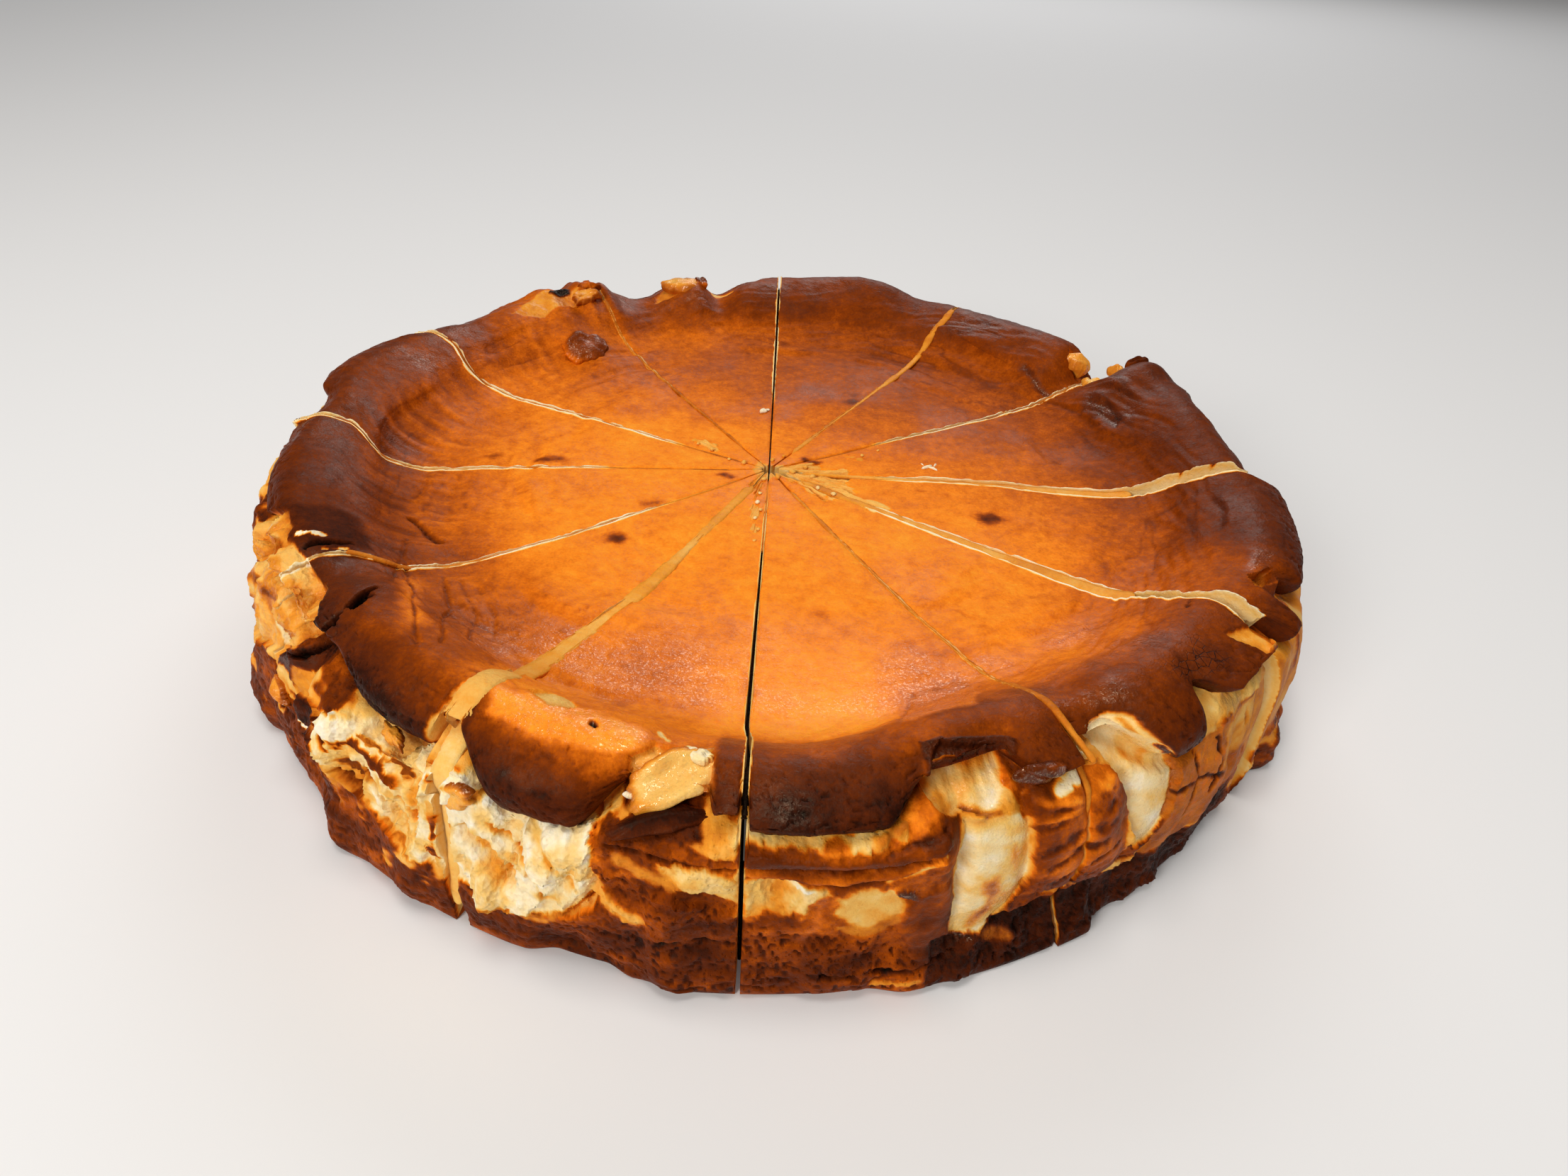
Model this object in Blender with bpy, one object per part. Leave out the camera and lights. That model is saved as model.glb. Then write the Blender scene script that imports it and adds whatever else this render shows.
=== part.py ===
"""Whole Basque cheesecake, 10 inch, cut into twelve slices that keep its shape.

Each slice is one closed solid: a wedge with a flat underside, a wrinkled side, a
rolled lip of crust with torn and hanging lobes, and a sunken dish inside it.
Azimuths are in degrees, counter-clockwise from +X, about the point where the
cuts meet. Other sizes are in millimetres, and the model is in metres, +Z up.
"""

from collections import namedtuple

import bmesh
import bpy
import numpy as np

MM = 0.001

# Driving dimensions of the cake, in millimetres.
CUTS_MEET = (-2.4, 2.4)
DISH_HEIGHT = 37.0
CREST_HEIGHT = 49.6
BODY_RADIUS = 128.0
CREST_RADIUS = 112.5
LIP_RADIUS = 121.5
SLOPE_RADIUS = 89.0
LIP_THICKNESS = 5.0
SHOULDER_HEIGHT = 37.5
NECK_INSET = 3.6
BASE_ROUNDING = 2.0
TIP_RADIUS = 1.0
SPREAD = 0.8

# Faceting of one slice.
COLUMNS = 23

# Sizes that vary round the cake: a bell of this half width and height.
Swell = namedtuple("Swell", "azimuth half_width amount")
# A part of the lip that hangs down to low and reaches out or in by reach.
Lobe = namedtuple("Lobe", "start end rise fall low reach")
# A stretch round the cake where a size changes by amount.
Stretch = namedtuple("Stretch", "start end rise fall amount")
# A hollow (depth over 0) or a lump in the side wall.
Dent = namedtuple("Dent", "azimuth height half_width half_height depth")
# A cut: gap at the rim, and how far it strays at the dish's edge and at the rim.
Cut = namedtuple("Cut", "azimuth gap stray_dish stray_rim")

CUTS = (
    Cut(90.1, 0.3, 0.0, 0.0),
    Cut(59.3, 0.5, 0.0, -0.8),
    Cut(30.3, 0.4, 0.8, 0.9),
    Cut(-2.2, 2.6, -1.2, -2.6),
    Cut(-33.2, 3.2, 0.0, -2.2),
    Cut(-61.9, 0.3, 0.9, -0.8),
    Cut(-90.8, 0.5, 0.0, 0.5),
    Cut(-114.4, 2.6, -2.2, -0.4),
    Cut(-141.6, 0.6, -1.6, -2.8),
    Cut(-176.2, 0.6, 3.0, -0.8),
    Cut(154.0, 0.6, 1.2, -0.6),
    Cut(122.6, 0.3, 0.0, 0.0),
)

# How far each slice stands out from where the cuts meet, beyond the spread.
SLICE_SHIFT = (0.0, 0.2, 0.8, 2.8, 0.6, 0.0, 0.0, 0.2, 0.0, 0.2, 0.0, 0.0)

BODY_SWELLS = (
    Swell(-16.0, 22.0, 1.0),
    Swell(16.0, 16.0, 0.6),
    Swell(-152.0, 12.0, -2.4),
    Swell(-137.0, 6.0, -2.2),
    Swell(-178.0, 22.0, -2.4),
    Swell(92.0, 38.0, -4.0),
    Swell(140.0, 26.0, -2.6),
    Swell(45.0, 18.0, -3.4),
    Swell(-100.0, 8.0, 0.8),
)

CREST_RADIUS_SWELLS = (
    Swell(-88.0, 10.0, 5.6),
    Swell(-106.0, 8.0, 2.6),
    Swell(-50.0, 9.0, 2.6),
    Swell(-20.0, 18.0, 3.2),
    Swell(17.0, 6.0, 2.4),
    Swell(25.0, 3.0, 4.6),
    Swell(32.0, 3.6, -5.6),
    Swell(48.0, 12.0, -3.0),
    Swell(79.0, 9.0, 2.2),
    Swell(98.0, 5.0, -6.6),
    Swell(112.0, 8.0, -2.2),
    Swell(143.0, 14.0, -2.2),
    Swell(167.0, 8.0, 1.8),
    Swell(179.0, 5.0, -2.8),
    Swell(-155.0, 14.0, -0.2),
    Swell(-138.0, 6.0, -2.4),
)

CREST_HEIGHT_SWELLS = (
    Swell(-85.0, 9.0, -1.8),
    Swell(-96.5, 3.5, -2.4),
    Swell(-105.0, 7.0, -0.8),
    Swell(-72.0, 5.0, 0.6),
    Swell(-60.0, 3.0, -1.4),
    Swell(-50.0, 8.0, 0.9),
    Swell(-18.0, 14.0, 0.6),
    Swell(14.0, 9.0, 1.6),
    Swell(23.6, 3.0, 2.8),
    Swell(30.4, 3.8, -9.0),
    Swell(56.0, 8.0, -0.8),
    Swell(66.0, 4.0, -2.0),
    Swell(75.0, 6.0, 2.0),
    Swell(92.0, 6.0, -0.8),
    Swell(101.0, 3.4, -5.4),
    Swell(104.8, 2.2, 1.6),
    Swell(114.6, 5.4, -6.0),
    Swell(121.6, 1.2, 2.4),
    Swell(125.6, 1.6, 2.8),
    Swell(131.4, 2.4, 2.4),
    Swell(146.0, 5.0, -1.4),
    Swell(168.0, 12.0, 1.8),
    Swell(-157.0, 12.0, 1.8),
    Swell(-139.0, 4.0, -2.6),
    Swell(-122.0, 6.0, 0.2),
)

SLOPE_RADIUS_SWELLS = (
    Swell(-88.0, 22.0, 12.0),
    Swell(-40.0, 18.0, 4.0),
    Swell(0.0, 18.0, 2.0),
    Swell(-114.0, 8.0, 5.0),
    Swell(90.0, 30.0, -1.0),
)

LOBES = (
    Lobe(-176.2, -169.0, 0.6, 5.0, 46.0, -6.4),
    Lobe(-174.0, -147.0, 6.0, 6.0, 41.0, -3.8),
    Lobe(-146.0, -141.5, 2.0, 2.0, 43.5, -1.5),
    Lobe(-139.0, -133.0, 2.0, 1.5, 42.0, -1.0),
    Lobe(-129.4, -115.0, 8.0, 0.6, 39.6, 1.0),
    Lobe(-116.0, -99.4, 7.0, 4.6, 35.2, 4.0),
    Lobe(-93.6, -90.8, 0.9, 0.3, 43.6, 3.0),
    Lobe(-90.8, -76.0, 0.3, 4.4, 41.0, 4.4),
    Lobe(-68.6, -61.6, 3.2, 0.9, 43.4, 3.6),
    Lobe(-58.6, -46.4, 5.8, 3.0, 38.2, 4.8),
    Lobe(-46.4, -33.6, 3.0, 1.0, 44.6, 5.0),
    Lobe(-33.0, -29.0, 1.0, 1.4, 41.0, 4.2),
    Lobe(-26.0, -2.2, 3.0, 0.6, 41.8, 2.0),
    Lobe(-2.2, 22.0, 1.0, 6.0, 40.6, -1.4),
    Lobe(14.0, 27.4, 6.0, 1.2, 42.0, 2.2),
    Lobe(37.0, 59.0, 4.0, 1.5, 42.0, -1.5),
    Lobe(59.6, 75.0, 1.5, 3.0, 40.5, 0.0),
    Lobe(75.0, 95.0, 3.0, 2.5, 38.5, 2.0),
    Lobe(112.0, 124.0, 3.0, 3.0, 42.0, -3.0),
    Lobe(139.0, 153.6, 4.0, 2.0, 41.0, -2.4),
    Lobe(154.4, 174.0, 2.0, 4.0, 40.0, 1.4),
    Lobe(174.0, 183.6, 3.0, 1.0, 44.0, -6.0),
)

# The foot of the wall stands out where the crust has settled.
FOOT_STRETCHES = (
    Stretch(-132.0, -124.0, 3.0, 4.0, 2.4),
    Stretch(-127.0, -106.0, 3.0, 5.0, 0.6),
    Stretch(-109.0, -99.0, 3.0, 3.0, -2.0),
    Stretch(-99.0, -74.0, 4.0, 6.0, 1.4),
    Stretch(-80.0, -57.4, 4.0, 1.4, 2.8),
    Stretch(-29.5, -18.6, 3.0, 2.4, 4.4),
    Stretch(-156.0, -143.0, 5.0, 4.0, 3.6),
)
FOOT_TOP = 9.0

# Hollows torn in the wall, and lumps and folds that stand out from it.
DENTS = (
    Dent(-96.4, 43.0, 2.6, 7.0, 3.4),
    Dent(-94.6, 37.5, 4.2, 2.8, -2.4),
    Dent(-107.0, 26.0, 5.5, 8.0, 1.8),
    Dent(-113.4, 27.0, 2.4, 12.0, 1.6),
    Dent(-103.5, 24.0, 1.8, 9.0, -1.4),
    Dent(-122.0, 23.0, 2.0, 4.0, 4.0),
    Dent(-126.0, 30.0, 3.0, 4.0, -1.6),
    Dent(-131.6, 36.0, 1.6, 12.0, 4.0),
    Dent(-140.0, 32.0, 7.0, 8.0, 2.2),
    Dent(-147.0, 24.0, 2.4, 12.0, -1.2),
    Dent(-151.0, 12.0, 4.0, 5.0, -3.8),
    Dent(-86.0, 32.0, 5.0, 1.6, 1.6),
    Dent(-84.0, 37.6, 8.5, 2.6, -2.2),
    Dent(-75.6, 39.0, 1.8, 4.6, -3.4),
    Dent(-73.2, 30.0, 0.9, 12.0, 2.6),
    Dent(-70.4, 26.0, 2.6, 12.0, -0.8),
    Dent(-66.8, 30.0, 0.9, 11.0, 1.5),
    Dent(-63.0, 27.0, 5.0, 7.0, -1.8),
    Dent(-56.6, 32.0, 1.8, 11.0, 3.2),
    Dent(-51.0, 26.0, 4.0, 10.0, -1.6),
    Dent(-62.0, 10.0, 12.0, 3.2, 4.2),
    Dent(-44.0, 24.0, 2.0, 14.0, -1.4),
    Dent(-39.4, 26.0, 1.4, 12.0, 1.2),
    Dent(-25.0, 24.0, 2.2, 16.0, -1.4),
    Dent(-20.0, 26.0, 1.6, 14.0, 1.6),
    Dent(-9.0, 22.0, 3.0, 14.0, -1.2),
    Dent(4.0, 24.0, 1.8, 14.0, 1.6),
    Dent(12.0, 22.0, 3.0, 14.0, -1.6),
    Dent(31.0, 38.0, 4.0, 7.0, 2.0),
    Dent(48.0, 22.0, 3.0, 14.0, -1.6),
    Dent(66.0, 24.0, 2.0, 14.0, 1.6),
    Dent(84.0, 22.0, 3.4, 12.0, -1.4),
    Dent(103.0, 30.0, 3.0, 10.0, 1.8),
    Dent(127.0, 24.0, 2.4, 14.0, 1.4),
    Dent(147.0, 22.0, 3.0, 14.0, -1.4),
    Dent(163.0, 24.0, 2.0, 14.0, 1.4),
    Dent(-176.0, 22.0, 3.0, 14.0, -1.2),
)

# Fine horizontal pleats that baking paper leaves: height of a pleat and its depth.
PLEAT_PITCH = 6.4
PLEAT_DEPTH = 0.5
# Standing folds round the wall, how many and how deep.
FOLD_COUNT = 41
FOLD_DEPTH = 0.55

# The blister on the dish's slope: azimuth, distance from the middle, radius, height.
BLISTER = (131.0, 90.5, 7.0, 4.4)

# Crust colour, roughness and metallic value of a slice.
CRUST_COLOR = (0.42, 0.155, 0.035, 1.0)
CRUST_ROUGHNESS = 0.42


def clear_scene():
    """Remove what the scene holds."""
    for item in list(bpy.data.objects):
        bpy.data.objects.remove(item, do_unlink=True)


def smooth(x):
    """Ease from 0 to 1 with a level start and end."""
    x = np.clip(x, 0.0, 1.0)
    return x * x * (3.0 - 2.0 * x)


def turned(azimuth, about):
    """Angle from about to azimuth, between -180 and 180 degrees."""
    return (azimuth - about + 180.0) % 360.0 - 180.0


def swelled(azimuth, swells):
    """Sum of the bells in swells at an azimuth."""
    total = np.zeros_like(azimuth)
    for item in swells:
        total += item.amount * np.exp(-(turned(azimuth, item.azimuth) / item.half_width) ** 2)
    return total


def window(azimuth, item):
    """1 inside a stretch or lobe, easing to 0 at its two ends."""
    span = item.end - item.start
    along = turned(azimuth, item.start + span / 2.0) + span / 2.0
    return smooth(along / item.rise) * smooth((span - along) / item.fall)


def wall_relief(azimuth, height):
    """How far the wall stands out at an azimuth and height, from dents, pleats and folds."""
    out = np.zeros_like(azimuth)
    for dent in DENTS:
        across = turned(azimuth, dent.azimuth) / dent.half_width
        up = (height - dent.height) / dent.half_height
        out -= dent.depth * np.exp(-(across**2) - up**2)
    lean = 1.4 * np.sin(np.radians(azimuth * 7.0)) + 0.9 * np.sin(np.radians(azimuth * 17.0))
    out += PLEAT_DEPTH * np.sin(2.0 * np.pi * (height + lean) / PLEAT_PITCH)
    fold = np.sin(np.radians(azimuth * FOLD_COUNT + 40.0 * np.sin(np.radians(azimuth * 5.0))))
    out += FOLD_DEPTH * fold
    return out


def section(azimuth):
    """Distances from the middle and heights of the outline at each azimuth.

    The outline runs from the foot of the wall, up and under the lip, over the
    crest and down the slope into the dish. Both results are (station, column).
    """
    body = BODY_RADIUS + swelled(azimuth, BODY_SWELLS)
    crest = CREST_RADIUS + swelled(azimuth, CREST_RADIUS_SWELLS)
    top = CREST_HEIGHT + swelled(azimuth, CREST_HEIGHT_SWELLS)
    slope = SLOPE_RADIUS + swelled(azimuth, SLOPE_RADIUS_SWELLS)
    bare = top - LIP_THICKNESS
    hem = bare.copy()
    lip = LIP_RADIUS - 3.0 + 0.35 * (crest - CREST_RADIUS)
    for lobe in LOBES:
        share = window(azimuth, lobe)
        hem = np.minimum(hem, bare + (lobe.low - bare) * share)
        lip += (lobe.reach + 3.0) * share
    lip = np.maximum(lip, crest + 4.5)
    foot = np.zeros_like(azimuth)
    for stretch in FOOT_STRETCHES:
        foot += stretch.amount * window(azimuth, stretch)

    shoulder = np.minimum(SHOULDER_HEIGHT, hem - 4.0)
    neck = np.minimum(body - NECK_INSET, lip - NECK_INSET)
    wall = []
    for share in (0.0, 0.06, 0.22, 0.34, 0.52, 0.76, 1.0):
        height = shoulder * share
        drawn_in = foot * (1.0 - smooth((height - FOOT_TOP + 2.5) / 5.0))
        reach = body + drawn_in - 1.4 * smooth((share - 0.7) / 0.3)
        reach = reach + wall_relief(azimuth, height) * smooth(height / 4.0)
        reach = reach - BASE_ROUNDING * (1.0 - smooth((height + 1.0) / 5.0))
        wall.append((reach, height))
    last_reach, last_height = wall[-1]
    bulge = wall_relief(azimuth, hem - 2.0) * 0.6
    over = [
        (0.55 * last_reach + 0.45 * neck + 1.2 + bulge, 0.45 * last_height + 0.55 * (hem - 0.8)),
        (neck, hem - 0.8),
        (lip - 2.0, hem - 0.2),
        (lip, hem + 1.7),
        (lip + 0.5, 0.5 * (hem + top)),
        (0.62 * lip + 0.38 * crest, top - 1.7),
        (crest, top),
        (crest - 5.0, top - 1.2),
        (0.42 * slope + 0.58 * (crest - 5.0), DISH_HEIGHT + 0.62 * (top - DISH_HEIGHT)),
        (0.78 * slope + 0.22 * (crest - 5.0), DISH_HEIGHT + 0.20 * (top - DISH_HEIGHT)),
        (slope - 5.0, np.full_like(azimuth, DISH_HEIGHT + 0.3)),
    ]
    dish = []
    for reach in (68.0, 40.0, 14.0, TIP_RADIUS):
        dish.append((np.full_like(azimuth, reach), np.full_like(azimuth, DISH_HEIGHT)))
    outline = wall + over + dish
    reach = np.array([item[0] for item in outline])
    height = np.array([item[1] for item in outline])
    blister_azimuth, blister_distance, blister_radius, blister_height = BLISTER
    aside = np.radians(turned(azimuth, blister_azimuth)) * blister_distance
    away = np.hypot(aside[None, :], reach - blister_distance) / blister_radius
    on_top = np.arange(len(outline))[:, None] >= len(wall) + 6
    height += np.where(on_top, blister_height * np.exp(-(away**2)), 0.0)
    return reach, height


def stray(cut, reach):
    """Degrees by which a cut strays from its azimuth at a distance from the middle."""
    to_dish = smooth((reach - 55.0) / 33.0)
    to_rim = smooth((reach - 96.0) / 9.0)
    return cut.stray_dish * to_dish * (1.0 - to_rim) + cut.stray_rim * to_rim


def placed(reach, height, share, first, last, shift):
    """Points in metres for outline points at a share of the way across a slice."""
    gaps = [np.degrees(0.5 * cut.gap * smooth((reach - 15.0) / 90.0) / reach) for cut in (first, last)]
    span = turned(last.azimuth, first.azimuth)
    start = first.azimuth + stray(first, reach) - gaps[0]
    end = first.azimuth + span + stray(last, reach) + gaps[1]
    angle = np.radians(start + (end - start) * share)
    middle = np.radians(first.azimuth + span / 2.0)
    x = CUTS_MEET[0] + reach * np.cos(angle) + (SPREAD + shift) * np.cos(middle)
    y = CUTS_MEET[1] + reach * np.sin(angle) + (SPREAD + shift) * np.sin(middle)
    return np.stack([x, y, height + 0.0 * x], axis=-1) * MM


def close_sides(bm, rows, floor):
    """Fill the two cut faces and the underside.

    rows holds the outline's vertices from the foot to the tip, and floor holds,
    for the left and the right cut, vertices at the same distances on the ground.
    """
    count = len(rows)
    inner = count - len(floor[0])
    for side, chain in ((0, floor[0]), (-1, floor[1])):
        edge = [row[side] for row in rows]
        rim = edge[: inner + 1] + [chain[0]]
        faces = [rim]
        for step in range(len(chain) - 1):
            faces.append([edge[inner + step], edge[inner + step + 1], chain[step + 1], chain[step]])
        for face in faces:
            bm.faces.new(face if side == 0 else face[::-1])
    ground = list(rows[0]) + floor[1] + floor[0][::-1]
    bm.faces.new(ground[::-1])


def build_slice(index):
    """Make slice number index, which lies between its cut and the next one round."""
    first, last = CUTS[index], CUTS[(index + 1) % len(CUTS)]
    share = np.linspace(0.0, 1.0, COLUMNS + 1)
    span = turned(last.azimuth, first.azimuth)
    reach, height = section(first.azimuth + span * share)
    points = placed(reach, height, share[None, :], first, last, SLICE_SHIFT[index])
    stations = len(reach)

    bm = bmesh.new()
    bmesh.ops.create_grid(bm, x_segments=COLUMNS, y_segments=stations - 1, size=1.0)
    bm.verts.ensure_lookup_table()
    width = COLUMNS + 1
    rows = [bm.verts[station * width : (station + 1) * width] for station in range(stations)]
    points[-1] = points[-1].mean(axis=0)
    for station, row in enumerate(rows):
        for column, vertex in enumerate(row):
            vertex.co = points[station, column]

    # The outline's inner stations stand over the ground at the same distances.
    inner_from = next(k for k in range(stations) if height[k, 0] > 40 and reach[k, 0] < 108.0)
    floor = []
    for side in (0, -1):
        distances = reach[inner_from:, side]
        ground = placed(distances, np.zeros_like(distances), share[side], first, last, SLICE_SHIFT[index])
        ground[-1, :2] = points[-1, 0, :2]
        floor.append([bm.verts.new(point) for point in ground])
    close_sides(bm, rows, floor)
    bmesh.ops.remove_doubles(bm, verts=bm.verts, dist=0.00001)
    bmesh.ops.recalc_face_normals(bm, faces=bm.faces)
    bmesh.ops.triangulate(bm, faces=[face for face in bm.faces if len(face.verts) > 4])

    name = f"slice_{index + 1:02d}"
    mesh = bpy.data.meshes.new(name)
    bm.to_mesh(mesh)
    bm.free()
    mesh.shade_smooth()
    material = bpy.data.materials.new(f"{name}_crust")
    material.use_nodes = True
    shader = material.node_tree.nodes["Principled BSDF"]
    shader.inputs["Base Color"].default_value = CRUST_COLOR
    shader.inputs["Roughness"].default_value = CRUST_ROUGHNESS
    shader.inputs["Metallic"].default_value = 0.0
    mesh.materials.append(material)
    item = bpy.data.objects.new(name, mesh)
    bpy.context.scene.collection.objects.link(item)
    return item


def main():
    """Build the twelve slices."""
    clear_scene()
    for index in range(len(CUTS)):
        build_slice(index)


main()
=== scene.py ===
"""Looks of a whole Basque cheesecake that is cut into twelve slices.

Every slice is built again at fine detail over its plain solid: the outline is the
same, and folds, torn curd, wrinkles and the rolled crust lip are real relief. How
far each spot is baked, and whether crust or curd shows there, is kept on the mesh,
and one procedural finish reads it. Azimuths are in degrees, counter-clockwise from
+X, about the point where the cuts meet. Other sizes are in millimetres.

Places on the side and lip are given as an azimuth and a distance along the outline:
up to 38 it is the height over the ground, 50 is half way up the lip, 60 to 65 is the
lip's crest, and from there it grows inwards, 80 at 99 mm from the middle and 90 at
90 mm.
"""

from __future__ import annotations

import logging
import math
from dataclasses import dataclass
from enum import Enum
from typing import TypeVar

import bmesh
import bpy
import numpy as np
from mathutils import Matrix, Vector

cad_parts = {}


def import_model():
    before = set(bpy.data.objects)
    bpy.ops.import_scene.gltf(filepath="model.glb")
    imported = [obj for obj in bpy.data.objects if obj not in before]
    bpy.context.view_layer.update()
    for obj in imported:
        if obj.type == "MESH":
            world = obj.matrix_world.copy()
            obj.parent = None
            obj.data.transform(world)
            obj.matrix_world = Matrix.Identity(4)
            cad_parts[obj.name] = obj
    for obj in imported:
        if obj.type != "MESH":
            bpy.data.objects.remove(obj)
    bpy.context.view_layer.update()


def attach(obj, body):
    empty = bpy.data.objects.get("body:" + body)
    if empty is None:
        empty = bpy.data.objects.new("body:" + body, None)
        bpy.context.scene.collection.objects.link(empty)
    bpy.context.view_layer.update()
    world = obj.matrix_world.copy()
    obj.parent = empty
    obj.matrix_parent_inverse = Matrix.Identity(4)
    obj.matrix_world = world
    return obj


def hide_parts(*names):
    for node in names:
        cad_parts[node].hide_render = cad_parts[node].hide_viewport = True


log = logging.getLogger("cheesecake")

MM = 0.001
MERGE = 0.000004
UP = np.array([0.0, 0.0, 1.0])

Array = np.ndarray
Kind = TypeVar("Kind")
Color = tuple[float, float, float, float]


# ---------------------------------------------------------------- small helpers


def smooth(x: Array | float) -> Array:
    """Ease from 0 to 1 with a level start and end."""
    x = np.clip(x, 0.0, 1.0)
    return x * x * (3.0 - 2.0 * x)


def mix(a: Array | float, b: Array | float, share: Array | float) -> Array:
    """a where share is 0, b where it is 1."""
    return a + (b - a) * share


def turned(azimuth: Array | float, about: float) -> Array:
    """Angle from about to azimuth, between -180 and 180 degrees."""
    return (azimuth - about + 180.0) % 360.0 - 180.0


def table(kind: type[Kind], *rows: tuple) -> tuple[Kind, ...]:
    """One entry of a kind for each row of its values."""
    return tuple(kind(*row) for row in rows)


def upright(angle: float) -> tuple[Array, Array]:
    """Level directions away from the middle and aside, at an angle in radians."""
    ahead, aside = math.cos(angle), math.sin(angle)
    return np.array([ahead, aside, 0.0]), np.array([-aside, ahead, 0.0])


@dataclass(frozen=True)
class Noise:
    """Smooth random field in space, the same each run; its seed sets it apart."""

    seed: int

    def _corner(self, x: Array, y: Array, z: Array) -> Array:
        """Mix the bits of whole-numbered points.

        Args:
            x, y, z: Whole numbers along the three axes.

        Returns:
            A random value from -1 to 1 for each point.
        """
        salt = np.uint32((self.seed * 2654435761 + 12345) & 0xFFFFFFFF)
        h = x * np.uint32(374761393) + y * np.uint32(668265263) + z * np.uint32(1442695041) + salt
        h = (h ^ (h >> np.uint32(13))) * np.uint32(1274126177)
        h = (h ^ (h >> np.uint32(16))) * np.uint32(2246822519)
        h = h ^ (h >> np.uint32(13))
        low_bits = (h & np.uint32(0xFFFFFF)).astype(np.float32)
        return low_bits * np.float32(2.0 / 16777215.0) - np.float32(1)

    def at(self, x: Array, y: Array, z: Array | float = 0.0) -> Array:
        """Blend the random values of the corners round each point.

        Args:
            x, y, z: Places along the three axes.

        Returns:
            Values from about -1 to 1 of a field that changes over one unit.
        """
        x, y, z = np.broadcast_arrays(*(np.asarray(a, dtype=np.float32) for a in (x, y, z)))
        whole = [np.floor(a) for a in (x, y, z)]
        u, v, w = (a - b for a, b in zip((x, y, z), whole))
        u, v, w = (a * a * a * (a * (a * 6 - 15) + 10) for a in (u, v, w))
        ix, iy, iz = (a.astype(np.int32).view(np.uint32) for a in whole)
        total = np.zeros(x.shape, dtype=np.float32)
        for dx, wx in ((0, 1 - u), (1, u)):
            for dy, wy in ((0, 1 - v), (1, v)):
                for dz, wz in ((0, 1 - w), (1, w)):
                    ends = ix + np.uint32(dx), iy + np.uint32(dy), iz + np.uint32(dz)
                    total += self._corner(*ends) * (wx * wy * wz)
        return total

    def rough(
        self, x: Array, y: Array, z: Array | float = 0.0, octaves: int = 3, gain: float = 0.5
    ) -> Array:
        """Add up ever finer fields.

        Args:
            x, y, z: Places along the three axes.
            octaves: How many fields.
            gain: Strength of each field next to the coarser one before it.

        Returns:
            Values from about -1 to 1.
        """
        total, whole = 0.0, 0.0
        weight, size = 1.0, 1.0
        for octave in range(octaves):
            shift = 17.3 * octave
            total = total + weight * self.at(x * size + shift, y * size - shift, z * size + shift)
            whole += weight
            weight *= gain
            size *= 2.03
        return total / whole * 1.5


# ------------------------------------------------------------ sizes of the cake


@dataclass(frozen=True)
class Swell:
    """A size that bulges by amount round an azimuth, in a bell of this half width."""

    azimuth: float
    half_width: float
    amount: float


@dataclass(frozen=True)
class Lobe:
    """A part of the crust lip that hangs down to low and reaches out by reach."""

    start: float
    end: float
    rise: float
    fall: float
    low: float
    reach: float


@dataclass(frozen=True)
class Stretch:
    """A stretch round the cake where a size changes by amount."""

    start: float
    end: float
    rise: float
    fall: float
    amount: float


@dataclass(frozen=True)
class Cut:
    """A knife cut: its gap at the rim, and how far it strays at the dish's edge and the rim."""

    azimuth: float
    gap: float
    stray_dish: float
    stray_rim: float


@dataclass(frozen=True)
class Dent:
    """A hollow in the wall (depth over 0), or a lump on it."""

    azimuth: float
    height: float
    half_width: float
    half_height: float
    depth: float


@dataclass(frozen=True)
class CakeSizes:
    """Driving sizes of the cake, as its solids have them."""

    cuts_meet: tuple[float, float] = (-2.4, 2.4)
    dish_height: float = 37.0
    crest_height: float = 49.6
    body_radius: float = 128.0
    crest_radius: float = 112.5
    lip_radius: float = 121.5
    slope_radius: float = 89.0
    lip_thickness: float = 5.0
    shoulder_height: float = 37.5
    neck_inset: float = 3.6
    base_rounding: float = 2.0
    tip_radius: float = 1.0
    spread: float = 0.8
    lip_overhang: float = 4.5
    foot_top: float = 9.0
    wall_shares: tuple[float, ...] = (0.0, 0.06, 0.22, 0.34, 0.52, 0.76, 1.0)
    dish_rings: tuple[float, ...] = (68.0, 40.0, 14.0)
    slice_shift: tuple[float, ...] = (0.0, 0.2, 0.8, 2.8, 0.6, 0.0, 0.0, 0.2, 0.0, 0.2, 0.0, 0.0)

    # Where the cuts begin to stray, and over what distance they do so.
    stray_dish_from: float = 55.0
    stray_dish_over: float = 33.0
    stray_rim_from: float = 96.0
    stray_rim_over: float = 9.0
    gape_from: float = 15.0
    gape_over: float = 90.0


CUTS = table(
    Cut,
    (90.1, 0.3, 0.0, 0.0),
    (59.3, 0.5, 0.0, -0.8),
    (30.3, 0.4, 0.8, 0.9),
    (-2.2, 2.6, -1.2, -2.6),
    (-33.2, 3.2, 0.0, -2.2),
    (-61.9, 0.3, 0.9, -0.8),
    (-90.8, 0.5, 0.0, 0.5),
    (-114.4, 2.6, -2.2, -0.4),
    (-141.6, 0.6, -1.6, -2.8),
    (-176.2, 0.6, 3.0, -0.8),
    (154.0, 0.6, 1.2, -0.6),
    (122.6, 0.3, 0.0, 0.0),
)

BODY_SWELLS = table(
    Swell,
    (-16, 22, 1), (16, 16, 0.6), (-152, 12, -2.4), (-137, 6, -2.2), (-178, 22, -2.4), (92, 38, -4),
    (140, 26, -2.6), (45, 18, -3.4), (-100, 8, 0.8),
)

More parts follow.
